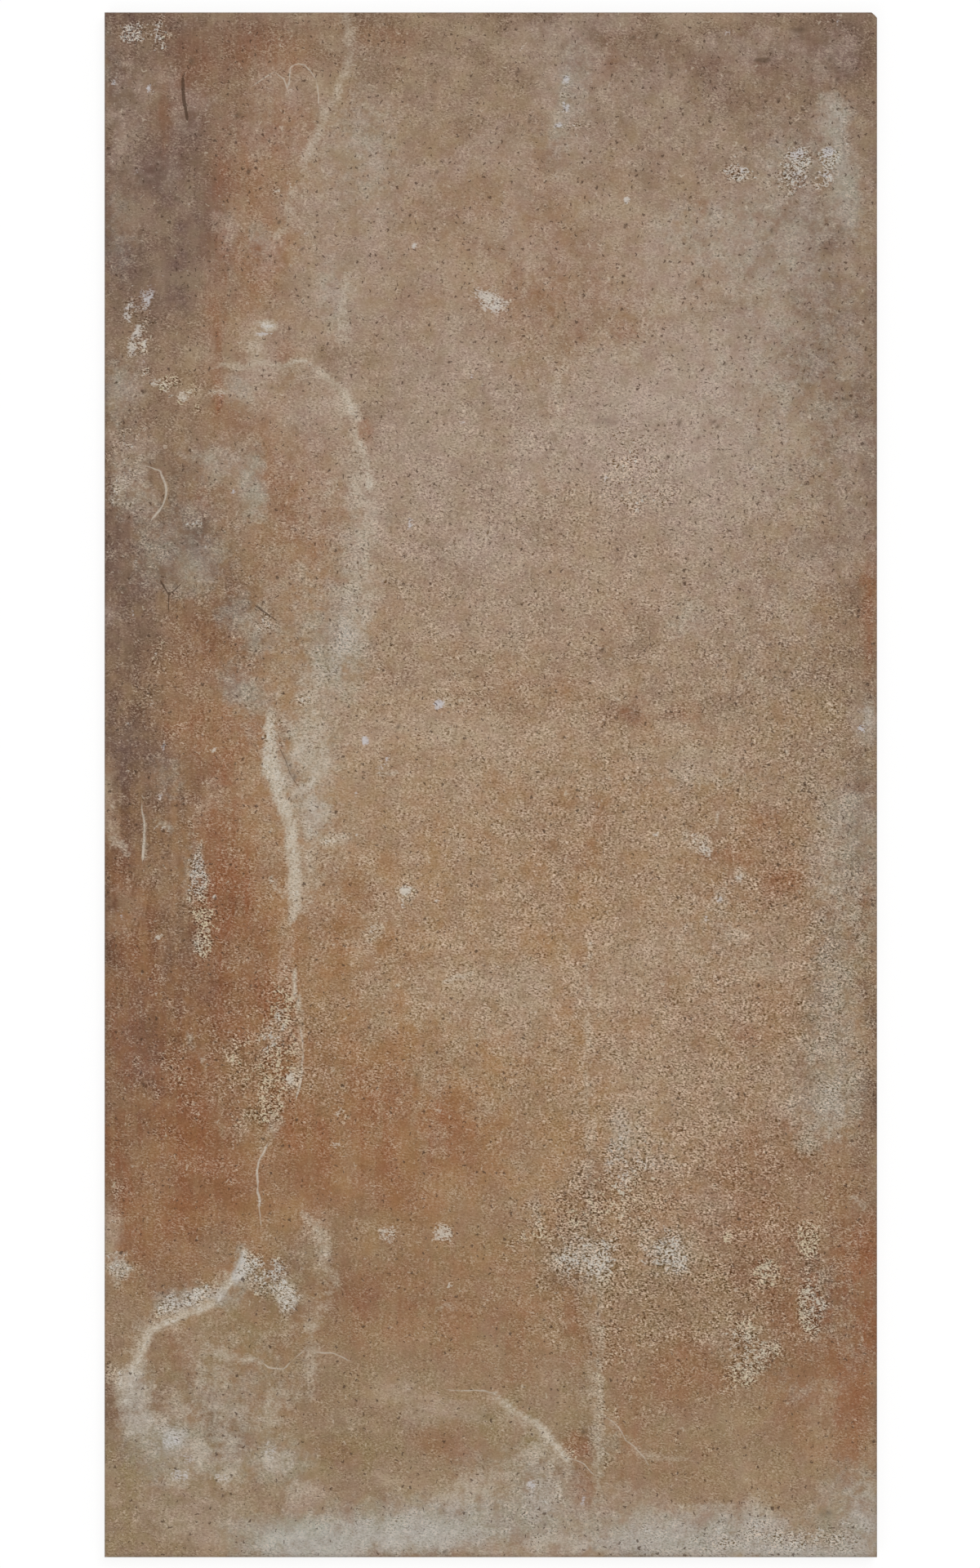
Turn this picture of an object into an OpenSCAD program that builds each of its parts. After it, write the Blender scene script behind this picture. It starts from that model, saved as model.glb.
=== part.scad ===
// Ceramic floor tile: one pressed and fired blank with ground edges, a fine
// bevel round the face and a grid of keying pockets pressed into the back.
// It lies face up, with the middle of its back at the origin.

/* [Tile] */
// Length, along Y
tile_l = 600; // [200:1:1200]
// Width, along X
tile_w = 300; // [150:1:600]
// Thickness, from the crowns of the back ribs to the face
tile_t = 9.5; // [6:0.5:20]

/* [Edges] */
// Width of the bevel ground round the face
arris_w = 0.6; // [0.2:0.1:2]
// Depth of the bevel ground round the face
arris_d = 0.6; // [0.2:0.1:2]
// Width of the chamfer pressed round the back
heel_w = 1.5; // [0.5:0.1:4]
// Height of the chamfer pressed round the back
heel_h = 1; // [0.5:0.1:2.5]
// Leg of the nip off the corner at +X +Y
corner_nip = 1.6; // [0.5:0.1:5]

/* [Back] */
// Width of the plain band between the chamfer and the first pockets
band_w = 12; // [6:0.5:30]
// Spacing of the ribs, before it is evened out over the length and the width
rib_pitch = 28; // [14:0.5:60]
// Width of a rib on its crown
rib_crown = 2.4; // [1:0.1:6]
// Depth of the pockets between the ribs
pocket_d = 0.7; // [0.3:0.1:2]
// Run of a pocket's sloping wall, from its mouth to its floor
pocket_draft = 1.2; // [0.2:0.1:3]

/* [Hidden] */
// How far a cutting shape runs past what it cuts
lap = 1;

// The field holds all the pockets and reaches to the middle of its outer ribs.
function field(span) = span - 2 * (heel_w + band_w) + rib_crown;
// Pockets across a field: an even number, so that two ribs cross at its middle.
function pockets_across(span) = 2 * round(field(span) / (2 * rib_pitch));
pockets_x = pockets_across(tile_w);
pockets_y = pockets_across(tile_l);
pitch_x = field(tile_w) / pockets_x;
pitch_y = field(tile_l) / pockets_y;

// Section through the tile: a bevel at the face and a chamfer at the back.
module section(span)
    polygon([
        [-span / 2 + heel_w, 0],
        [span / 2 - heel_w, 0],
        [span / 2, heel_h],
        [span / 2, tile_t - arris_d],
        [span / 2 - arris_w, tile_t],
        [-span / 2 + arris_w, tile_t],
        [-span / 2, tile_t - arris_d],
        [-span / 2, heel_h],
    ]);

// Outline from above, with one corner nipped off.
module outline()
    polygon([
        [-tile_w / 2, -tile_l / 2],
        [tile_w / 2, -tile_l / 2],
        [tile_w / 2, tile_l / 2 - corner_nip],
        [tile_w / 2 - corner_nip, tile_l / 2],
        [-tile_w / 2, tile_l / 2],
    ]);

// The blank: the section run along both sides, cut to the outline.
module blank()
    intersection() {
        rotate([90, 0, 0]) linear_extrude(tile_l, center = true) section(tile_w);
        rotate([90, 0, 90]) linear_extrude(tile_w, center = true) section(tile_l);
        linear_extrude(tile_t) outline();
    }

// A rib along Y, from its crown at the back down to its wider foot in the pockets.
module rib(length)
    rotate([90, 0, 0])
        linear_extrude(length, center = true)
            polygon([
                [-rib_crown / 2, -2 * lap],
                [rib_crown / 2, -2 * lap],
                [rib_crown / 2, 0],
                [rib_crown / 2 + pocket_draft, pocket_d],
                [rib_crown / 2 + pocket_draft, pocket_d + lap],
                [-rib_crown / 2 - pocket_draft, pocket_d + lap],
                [-rib_crown / 2 - pocket_draft, pocket_d],
                [-rib_crown / 2, 0],
            ]);

// All the pockets: one sunk field, less the ribs that cross it.
module pockets()
    difference() {
        translate([-field(tile_w) / 2, -field(tile_l) / 2, -lap])
            cube([field(tile_w), field(tile_l), pocket_d + lap]);
        for (i = [0:pockets_x])
            translate([pitch_x * (i - pockets_x / 2), 0, 0]) rib(tile_l);
        for (i = [0:pockets_y])
            translate([0, pitch_y * (i - pockets_y / 2), 0]) rotate([0, 0, 90]) rib(tile_w);
    }

module tile()
    color("#99816B")
        difference() {
            blank();
            pockets();
        }

tile();
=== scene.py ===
"""A worn, clay-look ceramic floor tile, lying face up on a plain pale floor.

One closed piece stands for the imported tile. Its face carries the painted wear of old clay: rust and
smoke from the kiln, pale bloom, runs of limewash and crumbs of lime. Its sides and its ribbed back
are bare fired body. Places on the face are millimetres from the middle of the tile, X to the right
and Y up.
"""

import math
from types import SimpleNamespace

import bmesh
import bpy
import numpy as np
from mathutils import Matrix, Vector


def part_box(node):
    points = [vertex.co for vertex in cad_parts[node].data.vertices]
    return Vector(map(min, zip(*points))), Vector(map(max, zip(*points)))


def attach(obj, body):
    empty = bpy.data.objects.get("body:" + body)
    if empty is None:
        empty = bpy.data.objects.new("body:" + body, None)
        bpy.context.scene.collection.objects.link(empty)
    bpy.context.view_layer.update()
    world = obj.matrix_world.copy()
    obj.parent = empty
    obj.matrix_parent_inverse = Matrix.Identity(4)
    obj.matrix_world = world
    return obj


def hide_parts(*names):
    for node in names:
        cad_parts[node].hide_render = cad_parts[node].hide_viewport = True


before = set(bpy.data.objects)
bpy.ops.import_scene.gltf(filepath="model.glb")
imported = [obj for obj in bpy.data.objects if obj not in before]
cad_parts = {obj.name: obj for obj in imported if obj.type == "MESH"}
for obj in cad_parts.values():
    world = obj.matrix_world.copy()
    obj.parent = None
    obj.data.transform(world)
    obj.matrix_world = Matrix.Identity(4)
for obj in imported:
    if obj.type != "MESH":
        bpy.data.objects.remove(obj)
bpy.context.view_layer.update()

MM = 0.001

# The blank, in millimetres: its length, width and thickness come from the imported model.
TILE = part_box("tile")
WIDTH = (TILE[1].x - TILE[0].x) / MM
LENGTH = (TILE[1].y - TILE[0].y) / MM
THICKNESS = (TILE[1].z - TILE[0].z) / MM
ARRIS = 0.6
BEVEL_STEPS = ((0.6, 0.35), (0.4, 0.65))
HEEL_WIDTH = 1.5
HEEL_HEIGHT = 1.0
CORNER_NIP = 2.0
BACK_BAND = 12.0
RIB_CROWN = 2.4
POCKET_DEPTH = 0.7
POCKET_DRAFT = 1.2
POCKETS = (10, 20)
FACE_CELLS = (200, 400)

# How deep the face is worn, in millimetres.
WAVE_DEPTH = 0.10
RIPPLE_DEPTH = 0.05
SCAR_DEPTH = 0.18
SAND_DEPTH = 0.05
LIME_THICKNESS = 0.06

# Millimetres: how soon a tide's crest dies away, what counts as far from a fine line, and as no distance.
TIDE_CREST = 3
FAR_OFF = 6.0
TOUCH = 0.01

# How high the pale wash reaches up the back.
WASH_HEIGHT = 0.35

# Where the face, the back, the long sides and the short ends lie on the map that the bake uses.
MAP_FACE = 0.66
MAP_BACK_START = 0.68
MAP_BACK = 0.24
MAP_SIDES_START = 0.935
MAP_ENDS_START = 0.969
MAP_EDGE = 0.012
MAP_NEXT_EDGE = 0.016

# The floor, in millimetres, and the camera: metres above the face, and millimetres of length in view.
FLOOR_REACH = 6000.0
CAMERA_DISTANCE = 3.0
SEEN_LENGTH = 608.9
AIM = (-0.32, 0.32)


# ---------------------------------------------------------------- the painted wear of the face

# Rows are centre x, y, half width, half height, strength and, where the patch is turned, degrees.
# The long lists go by place, from the top of the tile to its foot.
# A stroke is a strength and the points it runs through, each x, y and its width there.
# A tide is a strength, the millimetres over which it dies away, and the points of its sharp edge;
# the film lies on the left of them.

# Where the body fired warmer: the whole lower half, and most of the left.
TAWNY = (
    # the top, left
    (-69, 293, 12, 8, 0.25), (-75, 280, 40, 20, 0.08), (-90, 212, 8, 20, 0.15),
    (-85, 215, 20, 60, 0.12),
    # the top, right
    (10, 215, 60, 40, 0.2), (30, 180, 30, 30, 0.12), (28, 170, 20, 16, 0.15),
    # the upper middle, left
    (-105, 120, 30, 60, 0.2), (-80, 90, 40, 40, 0.2), (-20, 40, 90, 50, 0.25),
    # the upper middle, right
    (32, 108, 16, 14, 0.2), (35, 110, 20, 30, 0.15), (70, 80, 40, 24, 0.15), (140, 75, 16, 16, 0.15),
    (120, 65, 30, 16, 0.15), (60, 20, 70, 40, 0.25),
    # the lower middle, left
    (-148, -6, 5, 12, 0.25), (-147, -5, 6, 14, 0.25), (-148, -8, 5, 12, 0.3),
    (-138, -25, 12, 30, 0.25), (-136, -40, 20, 90, 0.3), (-70, -75, 20, 20, 0.2),
    (-20, -75, 90, 80, 0.4), (-20, -75, 24, 20, 0.15), (-5, -88, 12, 10, 0.15),
    (-148, -95, 5, 20, 0.3), (-148, -94, 5, 16, 0.3), (-147, -94, 6, 20, 0.3),
    (-95, -90, 50, 110, 0.55), (-6, -93, 16, 10, 0.2), (-6, -90, 14, 8, 0.15),
    (-95, -105, 45, 55, 0.35), (-84, -112, 8, 12, 0.3), (-79, -113, 8, 12, 0.3),
    (-79, -110, 8, 12, 0.2), (-78, -110, 10, 14, 0.25), (-77, -110, 8, 12, 0.25),
    (-90, -120, 20, 30, 0.2), (-65, -120, 18, 24, 0.25), (-30, -120, 60, 40, 0.2),
    (-18, -125, 16, 12, 0.2), (-130, -150, 30, 50, 0.3), (-125, -150, 28, 30, 0.3),
    (-60, -140, 60, 50, 0.35),
    # the lower middle, right
    (30, -30, 24, 30, 0.25), (105, -50, 20, 60, 0.1), (30, -60, 20, 50, 0.15), (142, -60, 10, 36, 0.2),
    (148, -58, 5, 16, 0.25), (10, -70, 110, 90, 0.5), (34, -74, 8, 14, 0.25), (34, -74, 8, 12, 0.2),
    (34, -75, 8, 12, 0.2), (34, -75, 10, 12, 0.2), (34, -75, 8, 10, 0.15), (35, -75, 14, 22, 0.2),
    (35, -72, 20, 22, 0.2), (142, -70, 8, 30, 0.2), (0, -90, 24, 20, 0.12), (30, -110, 14, 40, 0.2),
    (118, -150, 18, 14, 0.2),
    # the foot, left
    (-10, -190, 150, 60, 0.42), (-96, -298, 10, 4, 0.3),
    # the foot, right
    (130, -170, 18, 30, 0.2), (30, -206, 10, 12, 0.25), (147, -207, 6, 20, 0.25),
    (148, -207, 5, 16, 0.3), (142, -215, 14, 50, 0.3), (120, -240, 50, 40, 0.35),
)

# Brown ground: the whole left edge, and patches along the others.
UMBER = (
    # the top, left
    (-149, 298, 5, 4, 0.4), (-140, 298, 12, 4, 0.35), (-138, 296, 8, 4, 0.3), (-75, 298, 10, 3, 0.25),
    (-74, 297, 10, 4, 0.2), (-149.5, 290, 3, 20, 0.4), (-115, 288, 40, 16, 0.3),
    (-50, 292, 14, 6, 0.15), (-48, 294, 12, 6, 0.25), (-48, 275, 5, 16, 0.15),
    (-110, 235, 16, 70, 0.2), (-149, 214, 6, 18, 0.2), (-148, 215, 34, 90, 0.32),
    (-140, 213, 8, 10, 0.2), (-120, 205, 14, 16, 0.15), (-109, 166, 6, 8, 0.2),
    (-148, 152, 4, 12, 0.25),
    # the top, right
    (19, 298, 20, 4, 0.2), (23, 298, 10, 3, 0.25), (78, 298, 10, 3, 0.25), (60, 290, 90, 14, 0.2),
    (64, 288, 5, 10, 0.2), (150, 290, 30, 16, 0.3), (95, 265, 60, 26, 0.25), (137, 244, 6, 10, 0.15),
    (137, 243, 8, 8, 0.2), (43, 224, 6, 10, 0.2), (28, 178, 12, 14, 0.15), (35, 185, 20, 16, 0.15),
    (124, 165, 10, 30, 0.14), (45, 141, 5, 2.4, 0.45), (70, 147, 4, 2, 0.3), (87, 141, 3, 3, 0.35),
    (112, 146, 8, 8, 0.15), (148, 130, 14, 80, 0.3),
    # the upper middle, left
    (-128, 128, 26, 24, 0.14), (-148, 116, 4, 14, 0.2), (-144, 116, 5, 10, 0.2),
    (-128, 120, 24, 20, 0.1), (-146, 112, 10, 20, 0.2), (-134, 108, 8, 8, 0.2),
    (-104, 84, 20, 20, 0.2), (-108, 72, 16, 20, 0.15), (-105, 78, 12, 24, 0.15),
    (-99, 70, 11, 16, 0.3), (-110, 56, 8, 12, 0.2), (-93, 57, 10, 10, 0.2), (-75, 57, 6, 6, 0.1),
    (-150, 50, 26, 70, 0.5), (-8, 42, 8, 3, 0.15), (-40, 41, 4, 8, 0.25, 30), (-34, 40, 3, 5, 0.3),
    (-2, 31, 10, 4, 0.25), (-132, 27, 6, 8, 0.2),
    # the upper middle, right
    (100, 128, 5, 6, 0.15), (53, 117, 8, 3, 0.3), (80, 120, 8, 3, 0.2), (30, 110, 8, 5, 0.2),
    (24, 100, 9, 8, 0.2), (132, 90, 16, 6, 0.2), (134, 72, 14, 5, 0.2), (53, 62, 6, 5, 0.3),
    (112, 62, 30, 18, 0.12), (39, 51, 7, 4, 0.25), (50, 50, 3, 5, 0.3), (57, 51, 6, 4, 0.25),
    (62, 48, 40, 12, 0.1, 10), (138, 50, 12, 5, 0.2), (46.5, 31, 5, 5, 0.75), (64, 37, 7, 4, 0.45),
    (80, 38, 20, 5, 0.12), (90, 32, 8, 5, 0.3), (125, 38, 14, 6, 0.15), (16, 30, 5, 3, 0.25),
    (40, 22.5, 1.8, 1.8, 0.7), (70, 27, 5, 4, 0.45), (148, 0, 10, 60, 0.15),
    # the lower middle, left
    (-140, -4, 8, 12, 0.25), (-102, -48, 8, 12, 0.15), (-102, -50, 6, 8, 0.15),
    (-102, -49, 8, 8, 0.15), (-60, -45, 10, 18, 0.12), (-112, -60, 14, 60, 0.15),
    (-104, -65, 22, 50, 0.35), (-5, -60, 5, 4, 0.12), (-150, -75, 6, 40, 0.3), (-148, -75, 4, 24, 0.3),
    (-146, -70, 34, 110, 0.42), (-149, -80, 5, 45, 0.3), (-148, -80, 4, 12, 0.25),
    (-149, -90, 4, 40, 0.2), (-147, -95, 6, 40, 0.2), (-140, -100, 14, 40, 0.12),
    (-68, -105, 5, 12, 0.15), (-65, -112, 6, 12, 0.3), (-64, -112, 6, 10, 0.15),
    (-63, -112, 6, 10, 0.15), (-148, -115, 4, 10, 0.25), (-120, -130, 40, 50, 0.25),
    # the lower middle, right
    (36, -8, 5, 3, 0.25), (143, -13, 5, 10, 0.2), (30, -20, 26, 30, 0.12), (146, -20, 4, 20, 0.12),
    (142, -45, 6, 30, 0.15), (125, -60, 4, 30, 0.12), (132, -65, 8, 16, 0.22), (132, -66, 7, 12, 0.25),
    (149.5, -80, 2, 34, 0.3), (147, -92, 4, 20, 0.12), (149, -110, 4, 34, 0.35),
    (146, -122, 5, 14, 0.2), (148, -120, 4, 14, 0.2), (35, -150, 6, 14, 0.2),
    (120, -150, 30, 30, 0.12),
    # the foot, left
    (-60, -170, 60, 40, 0.12), (-106, -176, 12, 8, 0.2), (-104, -176, 8, 6, 0.15),
    (-120, -190, 14, 5, 0.15), (-70, -195, 12, 22, 0.25), (-75, -200, 8, 14, 0.2),
    (-53, -200, 8, 5, 0.3), (-31, -202, 9, 4, 0.3, 35), (-60, -214, 6, 8, 0.2),
    (-125, -230, 30, 20, 0.12), (-120, -230, 9, 12, 0.12), (-98, -228, 30, 14, 0.1),
    (-75, -232, 20, 16, 0.15), (-135, -242, 10, 8, 0.12), (-118, -236, 14, 8, 0.12),
    (-112, -238, 20, 8, 0.15), (-96, -246, 8, 10, 0.15), (-149, -250, 6, 20, 0.35),
    (-146, -250, 8, 14, 0.15), (-110, -256, 8, 8, 0.15), (-109, -255, 6, 6, 0.2),
    (-103, -249, 12, 8, 0.2), (-22, -256, 9, 4, 0.25, -20), (-136, -268, 16, 30, 0.12),
    (-54, -260, 15, 5.5, 0.4, -4), (-90, -298, 12, 3, 0.3), (-35, -298, 12, 3, 0.3),
    # the foot, right
    (33, -159, 8, 8, 0.15), (116, -152, 18, 10, 0.2), (34, -165, 7, 16, 0.3), (35, -170, 8, 10, 0.2),
    (29, -198, 8, 10, 0.2), (30, -192, 8, 8, 0.3), (93, -190, 6, 8, 0.2), (125, -192, 6, 8, 0.2),
    (125, -192, 7, 7, 0.22), (126, -198, 8, 14, 0.2), (127, -193, 8, 8, 0.2),
    (128, -198, 10, 14, 0.12), (129, -191, 8, 8, 0.2), (110, -205, 50, 40, 0.2),
    (110, -200, 24, 20, 0.15), (100, -222, 12, 10, 0.15), (143, -212, 8, 14, 0.28),
    (148, -210, 14, 60, 0.25), (38, -240, 5, 30, 0.2), (35, -255, 4.5, 6, 0.5), (23, -267, 8, 8, 0.15),
    (24, -268, 6, 6, 0.2), (22, -276, 12, 8, 0.2), (147, -285, 4, 10, 0.2), (62, -298, 14, 3, 0.3),
    (62, -298, 16, 3, 0.3), (104, -298, 20, 3, 0.3), (104, -298, 18, 3, 0.3),
)

# Rusty stains, most of them on the lower left and in the lower right corner.
RUST = (
    # the top, left
    (-90, 287, 22, 12, 0.35), (-45, 290, 6, 6, 0.15), (-40, 290, 12, 5, 0.2),
    (-122, 268, 12, 26, 0.25), (-75, 258, 10, 14, 0.2), (-88, 250, 18, 34, 0.12),
    (-92, 225, 13, 44, 0.25), (-90, 212, 5, 14, 0.15), (-95, 200, 12, 20, 0.12),
    (-32, 181, 8, 10, 0.1), (-97, 140, 8, 10, 0.2),
    # the top, right
    (90, 282, 50, 14, 0.12), (0, 215, 40, 30, 0.12), (30, 188, 34, 18, 0.2),
    # the upper middle, left
    (-76, 108, 14, 34, 0.35), (-105, 55, 20, 22, 0.25), (-45, 20, 12, 10, 0.15),
    (-10, 30, 26, 7, 0.15, -12), (-104, 8, 20, 22, 0.35),
    # the upper middle, right
    (50, 62, 24, 6, 0.12, 8), (30, 35, 40, 8, 0.2, -10),
    # the lower middle, left
    (-148, -6, 4, 12, 0.25), (-100, -30, 15, 40, 0.45), (-96, -60, 18, 30, 0.3),
    (-55, -60, 22, 28, 0.2), (-142, -70, 8, 50, 0.35), (-92, -85, 18, 26, 0.35),
    (-148, -98, 5, 20, 0.35), (-6, -93, 14, 8, 0.1), (-5, -92, 12, 8, 0.12),
    (-125, -105, 20, 34, 0.28), (-95, -110, 30, 44, 0.15), (-79, -113, 5, 10, 0.12),
    (-73, -108, 8, 14, 0.15), (-71, -112, 6, 8, 0.25), (-85, -120, 24, 14, 0.1),
    (-50, -116, 26, 24, 0.22), (-18, -125, 14, 10, 0.12), (-20, -130, 10, 8, 0.15),
    (-140, -140, 14, 40, 0.4), (-70, -145, 16, 24, 0.35), (-35, -140, 34, 24, 0.45),
    # the lower middle, right
    (33, -22, 14, 12, 0.25), (105, -30, 24, 26, 0.15), (147, -50, 5, 12, 0.25), (34, -74, 6, 12, 0.12),
    (35, -75, 8, 16, 0.12), (35, -78, 6, 14, 0.2), (90, -85, 24, 14, 0.2), (15, -100, 40, 14, 0.1),
    (62, -90, 20, 16, 0.12), (118, -145, 26, 14, 0.3), (118, -150, 16, 14, 0.25),
    # the foot, left
    (-125, -152, 20, 26, 0.15), (-115, -155, 24, 34, 0.33), (-50, -198, 18, 18, 0.25),
    (-8, -195, 36, 24, 0.2), (-121, -222, 7, 9, 0.4), (-15, -215, 60, 12, 0.2), (-92, -234, 4, 4, 0.2),
    (-14, -259, 12, 8, 0.2), (-94, -297, 8, 4, 0.3),
    # the foot, right
    (35, -158, 4, 14, 0.2), (85, -160, 30, 12, 0.2), (112, -190, 24, 24, 0.35),
    (126, -195, 12, 14, 0.15), (146, -198, 8, 28, 0.3), (30, -206, 6, 10, 0.12),
    (32, -204, 6, 8, 0.12), (147, -207, 5, 18, 0.12), (25, -222, 16, 12, 0.2),
    (140, -210, 9, 60, 0.32), (145, -212, 7, 24, 0.15), (0, -228, 24, 8, 0.15),
    (74, -226, 20, 11, 0.3), (50, -235, 8, 26, 0.3), (125, -235, 18, 22, 0.3),
    (147, -248, 5, 18, 0.25), (34, -270, 6, 10, 0.25), (60, -265, 30, 14, 0.15),
)

# Smaller stains with clearer edges.
RUST_MARKS = (
    # the top, left
    (-127, 262, 1.4, 18, 0.25), (-105, 236, 1.3, 22, 0.3), (-104, 200, 1.4, 20, 0.35),
    (-108, 195, 4, 42, 0.35), (-106, 162, 1.6, 18, 0.45), (-79, 168, 4, 4, 0.45),
    (-106, 147, 1.5, 4, 0.35), (-48.5, 138, 3, 4, 0.5),
    # the top, right
    (46, 282, 3, 9, 0.25), (81, 226, 2, 4, 0.4), (82, 196, 3, 2, 0.3), (36, 176, 10, 5, 0.15),
    (56, 177, 7, 4, 0.3), (65, 176, 5, 3, 0.25), (27, 146, 5, 4, 0.3), (88, 140, 4, 4, 0.3),
    # the upper middle, left
    (-111, 112, 5, 5, 0.3), (-37, 97, 3, 5, 0.3), (-61, 59, 1.6, 6, 0.35, -25),
    (-57, 62, 3, 4, 0.3, 30), (-41, 41, 5, 3, 0.25), (-119, 24, 8, 8, 0.4), (-80, 10, 1.6, 6, 0.5, 15),
    # the upper middle, right
    (23, 117, 5, 4, 0.3), (35, 117, 6, 3.5, 0.4), (53, 116, 7, 2.6, 0.3), (148, 68, 3.5, 26, 0.5),
    (11, 37, 5, 4, 0.25), (48, 29, 5, 3, 0.3), (55, 27, 6, 4, 0.3), (77, 29, 7, 4, 0.35),
    (100, 10, 9, 5, 0.25),
    # the lower middle, left
    (-106, -42, 3, 7, 0.3), (-132, -60, 5, 20, 0.2), (-36, -70, 4, 4, 0.35),
    # the lower middle, right
    (107, -13, 7, 5, 0.3), (93, -28, 8, 4, 0.35), (113, -38, 9, 6, 0.35), (145, -40, 5, 8, 0.3),
    (98, -96, 6, 4, 0.3), (102, -140, 5, 5, 0.3),
    # the foot, left
    (-53, -200, 7, 4.5, 0.12), (-31, -202, 7, 3.5, 0.15, 35), (-22, -256, 9, 4, 0.1, -20),
    (-54, -260, 15, 5, 0.15, -4),
    # the foot, right
    (34, -256, 4, 4, 0.5),
)

# Smoke from the kiln: the two upper corners and the left edge.
SMOKE = (
    # the top, left
    (-130, 298, 20, 3, 0.3), (-149, 286, 6, 22, 0.35), (-137, 284, 9, 14, 0.35),
    (-100, 294, 40, 8, 0.2), (-148, 250, 6, 40, 0.2), (-116, 256, 6, 10, 0.3),
    (-100, 250, 14, 40, 0.1), (-129, 225, 20, 44, 0.5), (-146, 214, 8, 18, 0.3),
    (-123, 208, 9, 20, 0.6), (-122, 190, 6, 10, 0.4), (-149, 144, 5, 12, 0.2), (-76, 150, 3, 5, 0.2),
    (-75, 139, 3.5, 6, 0.3),
    # the top, right
    (24, 292, 20, 6, 0.15), (85, 282, 46, 18, 0.15), (100, 284, 50, 16, 0.25),
    (140, 288, 12, 14, 0.35), (10, 250, 60, 44, 0.06), (149, 248, 5, 20, 0.2),
    (122, 245, 24, 22, 0.15), (88, 187, 10, 5, 0.15), (118, 190, 20, 40, 0.15),
    (134, 185, 18, 34, 0.3), (146, 130, 8, 40, 0.2),
    # the upper middle, left
    (-134, 106, 8, 8, 0.15), (-104, 105, 22, 22, 0.15), (-144, 90, 8, 16, 0.3),
    (-117, 90, 14, 13, 0.4), (-111, 84, 8, 6, 0.3), (-140, 66, 9, 26, 0.3), (-98, 67, 6, 5, 0.25),
    (-86, 56, 4, 3, 0.35), (-147, 50, 4, 55, 0.15), (-101, 41, 7, 7, 0.2), (-95.6, 34, 6, 5, 0.3),
    (-144, 24, 6, 16, 0.3), (-138, 10, 12, 12, 0.42), (-120, 0, 10, 12, 0.2),
    # the upper middle, right
    (146, 20, 6, 60, 0.1),
    # the lower middle, left
    (-137, -20, 12, 12, 0.15), (-124, -66, 5, 16, 0.15), (-148, -85, 4, 30, 0.15),
    (-112, -82, 7, 8, 0.2), (-137, -108, 10, 24, 0.35),
    # the foot, left
    (-149, -163, 5, 12, 0.15), (-145, -165, 6, 18, 0.1), (-60, -190, 20, 26, 0.1),
)

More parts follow.
